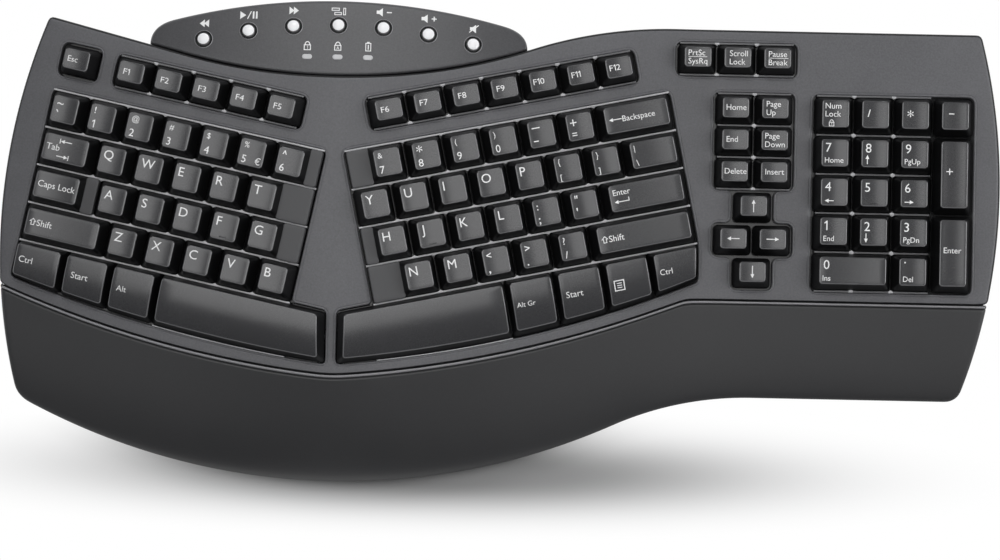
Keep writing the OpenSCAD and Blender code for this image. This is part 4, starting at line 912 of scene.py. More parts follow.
def ring_index(rows, cols):
    """Finish of each face of a cap: 1 for the skirt and the inner fan, coloured near black as a painted
    shade,
    2 for the rounded edge of the top on all sides but the back, coloured brighter as a painted highlight, 0
    for the top itself."""
    corner = ARC_N + EDGE_N
    at_back = (np.arange(cols) > corner + 1) & (np.arange(cols) < 2 * corner + 3)
    index = np.zeros((rows + 1, cols), int)
    index[:SKIRT_ROWS] = index[rows - 1] = 1
    index[SKIRT_ROWS:SKIRT_ROWS + EDGE_ROWS] = np.where(at_back, 0, 2)
    return index.ravel()


print("points in one ring:", 4 * (ARC_N + EDGE_N))

# %% Square caps
STEP_EDGE, STEP_CORNER, STEP_LOOK = 0.45, 1.2, 3
BAR_W, BAR_FROM, BAR_TO = 3.6, 1.3, 2.0


class Cap:
    """A cap on a cell of w by d mm; some have a low step at one end."""

    split = False

    def __init__(self, node, side, x, y, w, d, step_l=0.0, step_r=0.0):
        self.node, self.side, self.x, self.y = node, side, x, y
        self.cell_l, self.cell_r = KEY_GAP / 2 - w / 2, w / 2 - KEY_GAP / 2
        self.left, self.right = self.cell_l + step_l, self.cell_r - step_r
        self.front, self.back = KEY_GAP / 2 - d / 2, d / 2 - KEY_GAP / 2
        self.top = (self.left + CAP_SIDE, self.right - CAP_SIDE, self.front + CAP_FRONT, self.back - CAP_BACK)

    def place(self, p):
        """From the cell's axes to the object's."""
        p = np.asarray(p, float) + [self.x, self.y, 0]
        return on_block(self.side, p) if self.side else on_pad(p)

    def height(self, x, y):
        """The trough: a parabola across the top, lowest in the middle."""
        half = (self.top[1] - self.top[0]) / 2
        across = np.clip((x - (self.top[0] + self.top[1]) / 2) / half, -1, 1)
        return CAP_H - DISH * (1 - across**2) + 0.0 * y

    def ceiling(self, x, y):
        """Height of the hollow below the top."""
        return CAP_H - DISH - CAP_WALL

    def outline(self):
        """Rings in plan: inside, rim, leaning wall, rounded edge, and smaller ones to the middle."""
        xl, xr = self.left + LEAN * CAP_SIDE + INSET, self.right - LEAN * CAP_SIDE - INSET
        yf, yb = self.front + LEAN * CAP_FRONT + INSET, self.back - LEAN * CAP_BACK - INSET
        corner = CAP_CORNER + LEAN * (TOP_CORNER - CAP_CORNER) - np.minimum(INSET, 1.0)
        return with_middle(*rounded_rings(xl, xr, yf, yb, corner))

    def shells(self):
        """One closed loft of the outline; its wall rises evenly from the rim to the rounded edge."""
        x, y = self.outline()
        z = self.height(x, y)
        z[0], z[1] = self.ceiling(x[0], y[0]), -SKIRT_DROP
        z[WALL] = -SKIRT_DROP + LEAN[WALL, None] * (z[WALL] - FILLET + SKIRT_DROP)
        z[ROUNDED] -= FILLET * ROUND_DROP[:, None]
        return [self.solid(x, y, z, ring_index(*x.shape)), *self.steps()]

    def solid(self, x, y, z, index):
        """A closed loft of rings given in the cell's axes."""
        points, faces = closed_loft(np.dstack([x, y, z]))
        return self.place(points), faces, index

    def steps(self):
        """The low plates beside a cap, from inside its wall to the end of the cell."""
        spans = [(self.cell_l, self.left + CAP_SIDE / 2)] if self.left > self.cell_l else []
        spans += [(self.right - CAP_SIDE / 2, self.cell_r)] if self.right < self.cell_r else []
        return [self.plate(*span) for span in spans]

    def plate(self, xl, xr):
        """A low plate with a rounded upper edge."""
        inset = np.concatenate([[0, 0], STEP_EDGE * ROUND_IN])
        corner = np.maximum(STEP_CORNER - inset, 0.3)
        rings = rounded_rings(xl + inset, xr - inset, self.front + inset, self.back - inset, corner)
        x, y = with_middle(*rings)
        z = np.full_like(x, STEP_H)
        z[0], z[1] = -SKIRT_DROP, STEP_H - STEP_EDGE
        z[2:5] -= STEP_EDGE * ROUND_DROP[:, None]
        return self.solid(x, y, z, STEP_LOOK)

    def home_bar(self):
        """The small bar that the forefingers feel, near the front of the top."""
        middle, front = (self.top[0] + self.top[1]) / 2, self.top[2]
        inset = np.array([0.0, 0.02, 0.12, 0.25])
        rise = np.array([-0.2, 0.15, 0.3, 0.36])[:, None]
        xl, xr = middle - BAR_W / 2 + inset, middle + BAR_W / 2 - inset
        x, y = rounded_rings(xl, xr, front + BAR_FROM + inset, front + BAR_TO - inset, 0.1)
        return self.solid(x, y, np.broadcast_to(CAP_H - DISH + rise, x.shape), 0)


print("rings of a cap:", len(LEAN) + len(SHRINK))

# %% Cells of the square caps
ROW_UNITS = {
    -1: [[1] * 6 + [1.25], [1.5] + [1] * 4 + [1.75], [1.75] + [1] * 4 + [1.5], [2.25] + [1] * 5],
    1: [[1.5] + [1] * 5 + [2], [1] * 7 + [1.5], [1.25] + [1] * 5 + [2.25], [1.75] + [1] * 4 + [2.75]],
}
ROW_NODES = {
    -1: [["keys_left_number_row"] * 7, ["key_tab"] + ["keys_q_to_t"] * 5,
         ["key_caps_lock"] + ["keys_a_to_g"] * 5, ["key_left_shift"] + ["keys_z_to_b"] * 5],
    1: [["keys_right_number_row"] * 6 + ["key_backspace"], ["keys_y_to_bracket"] * 7 + ["key_backslash"],
        ["keys_h_to_quote"] * 6 + ["key_enter"], ["keys_n_to_slash"] * 5 + ["key_right_shift"]],
}
# 1 for a row whose innermost key has a step, and the step beside Caps Lock in key pitches
STEPPED_ROWS, CAPS_STEP = {-1: [1, 1, 1, 0], 1: [1, 0, 1, 1]}, 0.27


def block_caps(side):
    """The four straight rows of a block, cell by cell from the left; the innermost cap of a stepped row is
    one unit wide, and the rest of its cell is a step."""
    caps = []
    for row, (units, nodes) in enumerate(zip(ROW_UNITS[side], ROW_NODES[side])):
        starts = np.concatenate([[0], np.cumsum(units)]) - (LEFT_U if side < 0 else 0)
        innermost = len(units) - 1 if side < 0 else 0
        for i, (u, node) in enumerate(zip(units, nodes)):
            step = STEPPED_ROWS[side][row] * (u - 1) if i == innermost else 0
            step = CAPS_STEP if node == "key_caps_lock" else step
            steps = (0.0, step * PITCH) if side < 0 else (step * PITCH, 0.0)
            middle = (starts[i] + u / 2) * PITCH, -(row + 0.5) * ROW_PITCH
            caps.append(Cap(node, side, *middle, u * PITCH, ROW_PITCH, *steps))
    return caps


def function_caps(node, side, count):
    """Function keys from the split line outwards, listed from the left."""
    at = [side * (FKEY_START + i + 0.5) * PITCH for i in range(count)]
    return [Cap(node, side, x, FKEY_Y, PITCH, FKEY_D) for x in sorted(at)]


def pad_caps(node, spots, w, d):
    """Caps of one size at the given spots of the flat pad."""
    return [Cap(node, 0, x, y, w, d) for x, y in spots]


def num_spot(column, row):
    """Middle of a cell of the numeric pad, counted from its back left corner."""
    return NUM_X + (column - 1.5) * NUM_PX, NUM_Y + (2 - row) * NUM_PY


caps = block_caps(-1) + block_caps(1)
caps += function_caps("keys_f1_to_f5", -1, 5) + function_caps("keys_f6_to_f12", 1, 7)
caps.append(Cap("key_esc", -1, ESC_X, FKEY_Y, PITCH, FKEY_D))
caps += pad_caps("keys_system", [(SYS_X + i * SYS_PITCH, SYS_Y) for i in (-1, 0, 1)], SYS_PITCH, FKEY_D)
nav_spots = [(NAV_X + c * NAV_PX, NAV_Y + r * NAV_PY) for r in (1, 0, -1) for c in (-0.5, 0.5)]
caps += pad_caps("keys_navigation", nav_spots, NAV_PX, NAV_PY)
arrow_spots = [(NAV_X, ARROW_Y + r * ARROW_PITCH) for r in (1, -1)]
arrow_spots += [(NAV_X + c * NAV_PX, ARROW_Y) for c in (-0.5, 0.5)]
caps += pad_caps("keys_arrows", arrow_spots, NAV_PX, NAV_PY)
caps += pad_caps("keys_numpad_top", [num_spot(c, 0) for c in range(4)], NUM_PX, NUM_PY)
digit_spots = [num_spot(c, r) for r in (1, 2, 3) for c in range(3)] + [num_spot(2, 4)]
caps += pad_caps("keys_numpad_digits", digit_spots, NUM_PX, NUM_PY)
caps += pad_caps("key_numpad_plus", [num_spot(3, 1.5)], NUM_PX, 2 * NUM_PY)
caps += pad_caps("key_numpad_enter", [num_spot(3, 3.5)], NUM_PX, 2 * NUM_PY)
caps += pad_caps("key_numpad_zero", [num_spot(0.5, 4)], 2 * NUM_PX, NUM_PY)
print("square caps:", len(caps))

# %% [markdown]
# ## The bottom row
# These caps follow the curved front of the block, and their tops roll down to the thumbs. The same rings
# are used, but each point is then bent: its depth is stretched to the front arc, on the space keys its
# width to the split line, and on the right Ctrl key its width to the leaning outer end.

# %% Rolled caps
LOW_LEAN, LOW_END_LEAN, LOW_FRONT_LEAN, LOW_DEPTH = 1.4, 2.4, 2.2, 24.0
LOW_ROLL_Y = LOW_Y - ROW_PITCH / 4


class LowCap(Cap):
    """A cap of the bottom row between x0 and x1 in its block's axes; split says that one end follows the
    split line, outer that one end is the end of the row."""

    def __init__(self, node, side, x0, x1, split=False, outer=False):
        self.node, self.side, self.split, self.outer, self.x, self.y = node, side, split, outer, 0.0, 0.0
        self.left, self.right = self.cell_l, self.cell_r = x0 + KEY_GAP / 2, x1 - KEY_GAP / 2
        self.back = LOW_Y - KEY_GAP / 2
        self.front = self.back - LOW_DEPTH
        self.top = (self.left + LOW_LEAN, self.right - LOW_LEAN, self.front, self.back - LOW_LEAN)

    def height(self, x, y):
        """An arc that starts level near the back and rolls down to the front."""
        return CAP_H - ROLL_R + arc(ROLL_R, np.minimum(y - LOW_ROLL_Y, 0)) + 0.0 * x

    def ceiling(self, x, y):
        return self.height(x, y) - CAP_WALL

    def bend(self, x, y):
        """Stretches the depth to the front arc, and one end to the split line or to the leaning outer end."""
        front = front_local_y(self.side, x, WELL_GAP)
        y = self.back + (y - self.back) * (self.back - front) / LOW_DEPTH
        fixed, free = (self.left, self.right) if self.outer or self.side < 0 else (self.right, self.left)
        if self.split:
            end = split_local_x(self.side, y, SPACE_GAP + WELL_GAP)
        else:
            end = free - self.outer * OUTER_CUT[self.side] * (LOW_Y - y)
        return fixed + (x - fixed) * (end - fixed) / (free - fixed), y

    def outline(self):
        """The rings of a square cap, bent; the wall at the split line leans more."""
        lean_l = LOW_END_LEAN if self.split and self.side > 0 else LOW_LEAN
        lean_r = LOW_END_LEAN if self.split and self.side < 0 else LOW_LEAN
        xl, xr = self.left + LEAN * lean_l + INSET, self.right - LEAN * lean_r - INSET
        yf, yb = self.front + LEAN * LOW_FRONT_LEAN + INSET, self.back - LEAN * LOW_LEAN - INSET
        return self.bend(*with_middle(*rounded_rings(xl, xr, yf, yb, TOP_CORNER - np.minimum(INSET, 1.0))))


def low_caps(side, nodes, space):
    """The keys from the outer end inwards, then the space key up to the split line."""
    end = LEFT_U if side < 0 else RIGHT_U
    marks = [side * u * PITCH for u in [end] + [end - CTRL_U - i * MOD_U for i in range(len(nodes))]]
    row = [LowCap(node, side, *sorted(marks[i:i + 2]), outer=i == 0) for i, node in enumerate(nodes)]
    split_end = split_local_x(side, LOW_Y - LOW_DEPTH / 2, SPACE_GAP + WELL_GAP) - side * KEY_GAP / 2
    return row + [LowCap(space, side, *sorted([marks[-1], split_end]), split=True)]


caps += low_caps(-1, ["key_left_ctrl", "key_left_start", "key_left_alt"], "key_left_space")
caps += low_caps(1, ["key_right_ctrl", "key_menu", "key_right_start", "key_alt_gr"], "key_right_space")
print("all caps:", len(caps))

# %% Cap pieces
# node and number of each key with a home bar
HOME_KEYS = {("keys_a_to_g", 3), ("keys_h_to_quote", 1), ("keys_numpad_digits", 4)}
# the skirt finish is a painted shade and the edge finish a painted highlight
CAP_LOOKS = ["cap_satin", "painted_shade_black", "painted_edge_highlight", "step_matt"]
groups = {node: [cap for cap in caps if cap.node == node] for node in dict.fromkeys(cap.node for cap in caps)}


def piece_name(prefix, node):
    """The node's name with its first word replaced."""
    return prefix + "_" + node.split("_", 1)[1]


for node, group in groups.items():
    shells = [shell for cap in group for shell in cap.shells()]
    shells += [cap.home_bar() for i, cap in enumerate(group) if (node, i) in HOME_KEYS]
    make_piece(piece_name("caps", node), shells, node, CAP_LOOKS, [node], CAP_SHARP)
print("cap pieces:", len(groups))

# %% [markdown]
# ## Ribs between the rows
# The plate below the caps has thin ribs: one between two rows, and one along the back and the front of
# a well. Where two caps of a row meet, a small spur reaches in between them. The ribs' pale colour is a
# painted
# highlight: it draws the light lines between the rows and the small glints at the corners of the caps. A rib
# is a profile carried along X, whose two edges swell at the spurs of their own side; along the columns the
# gap stays dark.

# %% Row ribs
SPUR, SPUR_REACH, SPUR_STEPS, RIB_END = 0.75, 1.4, 9, 1.3
LIP_FROM, LIP_Y, LIP_SHAPE = 22.0, -100.0, [1, 0.5, 0.3]
RIB_SIDE = np.array([[0.2, -WELL_DEPTH], [0.2, -0.3], [0.48, 0.35], [0.42, 0.65], [0.2, 0.85]])
RIB_PROFILE = np.vstack([RIB_SIDE * [-1, 1], [[0.0, 0.9]], RIB_SIDE[::-1]])
# share of a spur's reach that each point of the profile takes
SWELLS = np.array([0, 0, 1, 0.8, 0.4, 0, 0.4, 0.8, 1, 0, 0])[:, None]


def swell(x, spurs):
    """How far an edge reaches out at x: a pointed bump of SPUR mm at each spur."""
    if not len(spurs):
        return np.zeros_like(x)
    near = np.min(np.abs(x[:, None] - np.asarray(spurs)[None]), 1)
    return SPUR * np.clip(1 - near / SPUR_REACH, 0, 1) ** 1.5


def rib(place, x0, x1, y, back_spurs=(), front_spurs=(), dim=False):
    """The profile along X: its front half moves to the front by one swell, its back half to the back. A dim
    rib has the pale painted highlight only at its spurs."""
    spurs = [*back_spurs, *front_spurs]
    bumps = [np.linspace(s - SPUR_REACH, s + SPUR_REACH, SPUR_STEPS) for s in spurs]
    x = np.unique(np.concatenate([np.linspace(x0, x1, 12), *bumps]))
    x = x[(x >= x0) & (x <= x1)]
    reach = np.where(RIB_PROFILE[:, :1] > 0, swell(x, back_spurs)[None], -swell(x, front_spurs)[None])
    across = RIB_PROFILE[:, :1] + SWELLS * reach
    p = np.dstack(np.broadcast_arrays(x[None], y + across, RIB_PROFILE[:, 1:]))
    plain = swell((x[1:] + x[:-1]) / 2, spurs) < 0.1 * SPUR
    # faces of the pale grey are a painted highlight; the plain stretches of a dim rib keep the dim grey
    index = np.tile((plain & dim).astype(int), len(p) - 1)
    return grid_shell(place(p), index, flip=True)


def block_ribs(side):
    """Five ribs of a block, from the back of its well to the bottom row; spurs where cells of a row meet."""
    low, high = sorted([0.0, side * BLOCK_SPAN[side]])
    meets = [[], *((np.cumsum(units)[:-1] * PITCH + low).tolist() for units in ROW_UNITS[side]), []]
    return [rib(lambda p: on_block(side, p), low, high, -k * ROW_PITCH, *meets[k:k + 2]) for k in range(5)]


def group_ribs(place, cx, cy, columns, rows, px, py):
    """Ribs of a rectangular group of keys: at its back, between its rows and at its front."""
    ends = cx - columns * px / 2 + RIB_END, cx + columns * px / 2 - RIB_END
    meets = (cx + (np.arange(1, columns) - columns / 2) * px).tolist()
    levels = [cy + (rows / 2 - r) * py for r in range(rows + 1)]
    spurs = [(meets if r else [], meets if r < rows else []) for r in range(rows + 1)]
    return [rib(place, *ends, y, *pair, True) for y, pair in zip(levels, spurs)]


def fkey_ribs(side, count):
    """Ribs of a row of function keys."""
    return group_ribs(lambda p: on_block(side, p), fkey_middle(side, count), FKEY_Y, count, 1, PITCH, FKEY_D)


def front_lip(space):
    """A low rib along the front arc of a space key, from LIP_FROM beside the split line to its outer end; its
    pale colour is a painted highlight along the front of the well.
    """
    side = space.side
    ends = sorted([split_local_x(side, LIP_Y, LIP_FROM), space.left if side < 0 else space.right])

    def place(p):
        low = p * LIP_SHAPE
        low[..., 1] += front_local_y(side, p[..., 0], WELL_GAP / 2)
        return on_block(side, low)

    return rib(place, *ends, 0.0)


ribs = block_ribs(-1) + block_ribs(1) + fkey_ribs(-1, 5) + fkey_ribs(1, 7)
ribs += [front_lip(cap) for cap in caps if cap.split]
ribs += group_ribs(on_pad, SYS_X, SYS_Y, 3, 1, SYS_PITCH, FKEY_D)
ribs += group_ribs(on_pad, NAV_X, NAV_Y, 2, 3, NAV_PX, NAV_PY)
ribs += group_ribs(on_pad, NUM_X - NUM_PX / 2, NUM_Y, 3, 5, NUM_PX, NUM_PY)
# the ribs' pale grey is a painted highlight
make_piece("row_ribs", ribs, "case", ["painted_glint_grey", "rib_dim"], (), INK_SHARP)
print("ribs:", len(ribs))

# %% [markdown]
# ## Legends
# The legends are printed, so each is a very thin solid lying on its cap. Words come from the built-in font;
# arrows and signs are small polygons. A mark is placed by its box: so far from the left and the top of the
# cap's face, or from its right and its foot. Then every point is lifted to the cap's own surface. A texture
# would be lighter, but then the print would be lost with the picture.

# %% Flat shapes
INK, LIFT, CAP_SHARE = 0.05, 0.05, 0.729
FINE_SIGNS, THICKER = "~`!^:;\"',.<>/", 0.05


def raised(outline, *holes):
    """A polygon with holes as a thin solid: two tessellated faces and a wall along each loop."""
    loops = [np.asarray(loop, float) for loop in (outline, *holes)]
    turned = [np.roll(loop, -1, 0) for loop in loops]
    areas = [np.sum(a[:, 0] * b[:, 1] - b[:, 0] * a[:, 1]) for a, b in zip(loops, turned)]
    right_way = [(area > 0) == (k == 0) for k, area in enumerate(areas)]
    loops = [loop if keep else loop[::-1] for loop, keep in zip(loops, right_way)]
    flat = np.vstack(loops)
    n = len(flat)
    vectors = [[Vector((x, y, 0)) for x, y in loop] for loop in loops]
    triangles = [list(t) for t in tessellate_polygon(vectors)]
    signs = [np.cross(flat[b] - flat[a], flat[c] - flat[a]) for a, b, c in triangles]
    triangles = [t if s > 0 else t[::-1] for t, s in zip(triangles, signs)]
    faces = triangles + [[i + n for i in t[::-1]] for t in triangles]
    start = 0
    for loop in loops:
        k = np.arange(len(loop))
        after = (k + 1) % len(loop)
        faces += (np.column_stack([k + n, after + n, after, k]) + start).tolist()
        start += len(loop)
    return np.vstack([np.column_stack([flat, np.full(n, z)]) for z in (INK / 2, -INK / 2)]), faces


def joined(*shapes):
    """Several shapes as one."""
    points, faces, start = [], [], 0
    for p, f in shapes:
        points.append(p)
        faces += [[i + start for i in face] for face in f]
        start += len(p)
    return np.vstack(points), faces


def moved(shape, dx=0.0, dy=0.0, turn=0.0, scale=1.0):
    """The shape scaled, turned by so many degrees about its origin, then moved."""
    p, f = shape
    c, s = math.cos(math.radians(turn)) * scale, math.sin(math.radians(turn)) * scale
    return np.column_stack([p[:, 0] * c - p[:, 1] * s + dx, p[:, 0] * s + p[:, 1] * c + dy, p[:, 2]]), f


def beside(*spots):
    """Shapes side by side, each moved to its own x."""
    return joined(*[moved(shape, x) for shape, x in spots])


def box(x0, y0, x1, y1):
    """The corners of a rectangle."""
    return [[x0, y0], [x1, y0], [x1, y1], [x0, y1]]


def bar(x0, y0, x1, y1):
    """A filled rectangle."""
    return raised(box(x0, y0, x1, y1))


def frame_box(x0, y0, x1, y1, t):
    """A rectangular frame of thickness t."""
    return raised(box(x0, y0, x1, y1), box(x0 + t, y0 + t, x1 - t, y1 - t))


words = {}


def word(text, cap_mm):
    """A word with capitals cap_mm high, from its baseline at the left, as a thin solid."""
    if (text, cap_mm) not in words:
        curve = bpy.data.curves.new("word", "FONT")
        curve.body, curve.size, curve.extrude = text, cap_mm / CAP_SHARE, INK / 2
        curve.offset = THICKER if text in FINE_SIGNS else 0.0
        curve.resolution_u = 3
        carrier = bpy.data.objects.new("word", curve)
        mesh = carrier.to_mesh()
        flat = np.zeros(len(mesh.vertices) * 3)
        mesh.vertices.foreach_get("co", flat)
        words[text, cap_mm] = flat.reshape(-1, 3), [list(f.vertices) for f in mesh.polygons]
        carrier.to_mesh_clear()
        bpy.data.objects.remove(carrier)
        bpy.data.curves.remove(curve)
    return words[text, cap_mm]


def figure_one(cap_mm):
    """A 1 with a flag: a stem and a slanting stroke to its left."""
    outline = [[0.2, 0], [0.33, 0], [0.33, 1], [0.24, 1], [0.0, 0.8], [0.0, 0.67], [0.2, 0.8]]
    return raised(np.array(outline) * cap_mm)


def spelled(text, cap_mm, gap=0.1):
    """Glyphs side by side, gap times their height apart, with the flagged 1."""
    pen, glyphs = 0.0, []
    for c in text:
        glyph = figure_one(cap_mm) if c == "1" else word(c, cap_mm)
        glyphs.append(moved(glyph, pen - glyph[0][:, 0].min()))
        pen = glyphs[-1][0][:, 0].max() + gap * cap_mm
    return joined(*glyphs)


print("letter H is", np.ptp(word("H", 4.6)[0][:, 1]).round(2), "mm high")

# %% Signs
def arrow(length, turn=0.0, head=1.9, wide=1.9, shaft=0.42):
    """An arrow to the right with its tip at the end, turned about its middle."""
    half, neck = length / 2, length / 2 - head
    outline = [[-half, -shaft / 2], [neck, -shaft / 2], [neck, -wide / 2], [half, 0], [neck, wide / 2]]
    return moved(raised(outline + [[neck, shaft / 2], [-half, shaft / 2]]), turn=turn)


def tab_arrow(turn):
    """An arrow against a bar."""
    return moved(joined(arrow(5.6), bar(2.9, -1.2, 3.3, 1.2)), turn=turn)


def shift_arrow(h=3.4, t=0.34):
    """A broad hollow arrow that points to the back: its outline, and the same drawn in by about t."""
    outer = [[-0.26, 0], [0.26, 0], [0.26, 0.5], [0.52, 0.5], [0, 1], [-0.52, 0.5], [-0.26, 0.5]]
    drawn_in = [[1, 1], [-1, 1], [-1, 1], [-2.3, 1], [0, -1.5], [2.3, 1], [1, 1]]
    outer = np.array(outer) * h
    return raised(outer, outer + np.array(drawn_in) * t)


def return_arrow():
    """An arrow to the left whose shaft turns up at its end."""
    return joined(arrow(7.4, 180), bar(3.3, 0.2, 3.7, 1.7))


def plus_sign(s, t=0.44):
    """Two crossing bars of length s, the upright one in two halves."""
    a, b = s / 2, t / 2
    return joined(bar(-a, -b, a, b), bar(-b, b, b, a), bar(-b, -a, b, -b))


def menu_sign(s=5.2):
    """A framed page with three lines."""
    lines = [bar(1.4, y, s - 1.4, y + 0.4) for y in (1.35, 2.4, 3.45)]
    return joined(frame_box(0, 0, s, s, 0.5), *lines)


def padlock(mark, h=4.6):
    """A lock: a framed body with a mark in it, and a bow above."""
    half = 0.37 * h
    body = frame_box(-half, 0, half, 0.62 * h, 0.09 * h)
    a = np.linspace(0, math.pi, 13)
    ring = np.column_stack([np.cos(a), np.sin(a)])
    bow_outer = ring * [0.3 * h, 0.38 * h] + [0, 0.6 * h]
    bow_inner = ring[::-1] * [0.2 * h, 0.28 * h] + [0, 0.6 * h]
    letters = spelled(mark, 0.34 * h)
    middle = (letters[0][:, 0].min() + letters[0][:, 0].max()) / 2
    return joined(body, raised(np.vstack([bow_outer, bow_inner])), moved(letters, -middle, 0.14 * h))


def play_triangle(h, turn=0.0, half=0.37):
    """A triangle h high that points to the right, then turned."""
    return moved(raised([[-half * h, -h / 2], [half * h, 0], [-half * h, h / 2]]), turn=turn)


def speaker(h=4.2):
    """A box with a cone."""
    outline = [[-0.45, -0.2], [-0.15, -0.2], [0.25, -0.5], [0.25, 0.5], [-0.15, 0.2], [-0.45, 0.2]]
    return raised(np.array(outline) * h)


print("arrow box:", np.ptp(arrow(5.6)[0], axis=0).round(2))

# %% Marks and their places
# heights of capitals in mm
LETTER, DIGIT, SYMBOL, NAME, SMALL, BELOW = 4.6, 3.8, 2.8, 3.2, 2.9, 2.7
UPPER_SIZES = {"*": 5.4, "<": 3.6, ">": 3.6, ":": 3.6, "?": 3.5, '"': 4.0, "~": 4.0, "!": 3.2, "^": 3.4}
F_WIDE = 1.14


def label(text, size, wide=1.0, **at):
    """A word as a list of one mark: its shape, its height and its place."""
    points, faces = (spelled if "1" in text else word)(text, size)
    return [((points * [wide, 1, 1], faces), size, at)]


def sign(shape, **at):
    """A drawn shape as a list of one mark, placed by its own box."""
    return [(shape, None, at)]


def letters(text):
    """One legend for each letter."""
    return [label(c, LETTER, left=1.9, top=1.7) for c in text]


def pair(upper, lower, low_size=DIGIT):
    """Two signs, one above the other."""
    size = UPPER_SIZES.get(upper, SYMBOL)
    return label(upper, size, left=2.0, top=1.5) + label(lower, low_size, left=2.0, foot=1.4)


def two_lines(upper, lower, left=2.2):
    """Two small words, one above the other."""
    return label(upper, SMALL, left=left, top=1.3) + label(lower, SMALL, left=left, foot=1.5)


def underline(width, left):
    """A thin line below the upper word."""
    return sign(bar(0, 0, width, 0.25), left=left, top=4.7)


def pad_digit(digit, below=None):
    """A digit of the numeric pad, with a small word below it."""
    low = label(below, BELOW, left=1.7, foot=1.9) if below else []
    return label(digit, LETTER, left=2.1, top=1.6) + low


def pad_arrow(digit, turn):
    """A digit of the numeric pad, with an arrow below it."""
    return pad_digit(digit) + sign(arrow(4.4, turn), left=2.0, foot=1.5)


def spot(shape, size, face, at):
    """Offset that puts a mark where at says, on a cap's face (left, right, front, back)."""
    low, high = shape[0].min(0), shape[0].max(0)
    foot, top = (low[1], high[1]) if size is None else (0.0, size)
    if "centre" in at:
        return (face[0] + face[1] - low[0] - high[0]) / 2, (face[2] + face[3] - foot - top) / 2
    dx = face[0] + at["left"] - low[0] if "left" in at else face[1] - at["right"] - high[0]
    return dx, face[3] - at["top"] - top if "top" in at else face[2] + at["foot"] - foot


def legend_shell(cap, shape, size, at):
    """Moves a mark to its spot and lifts each point to the cap's surface."""
    p, faces = shape
    dx, dy = spot(shape, size, cap.top, at)
    x, y = p[:, 0] + dx, p[:, 1] + dy
    return cap.place(np.column_stack([x, y, cap.height(x, y) + LIFT + p[:, 2]])), faces, 0


print("letter width:", np.ptp(letters("O")[0][0][0][0][:, 0]).round(2), "mm")

# %% Legend of every cap
number_row = [pair("~", "`", 5.0), *(pair(*c) for c in ("!1", "@2", "#3", "$4", "%5", "^6"))]
number_row[5] += label("€", 3.4, right=1.4, foot=1.4)
dashes = sign(bar(0, 0, 4.0, 0.5), left=1.9, top=3.2) + sign(bar(0, 0, 2.4, 0.5), left=1.9, foot=3.0)
sums = sign(plus_sign(3.2, 0.5), left=1.9, top=2.6) + label("=", DIGIT, left=2.0, foot=1.4)
shift = sign(shift_arrow(), left=1.6, top=4.6) + label("Shift", NAME, left=5.4, top=4.7)
tab = sign(tab_arrow(180), left=7.4, top=1.8) + sign(tab_arrow(0), left=7.2, foot=1.5)
backspace = sign(arrow(6.2, 180), left=2.0, top=5.4) + label("Backspace", SMALL, left=8.6, top=4.9)
num_lock = label("Num", SMALL, left=1.6, top=1.3) + label("Lock", SMALL, left=1.6, top=5.2)
num_lock += sign(padlock("1", 3.4), left=3.4, foot=0.5)
point = sign(bar(0, 0, 0.7, 0.7), left=2.4, top=1.8) + label("Del", BELOW, left=1.9, foot=1.9)
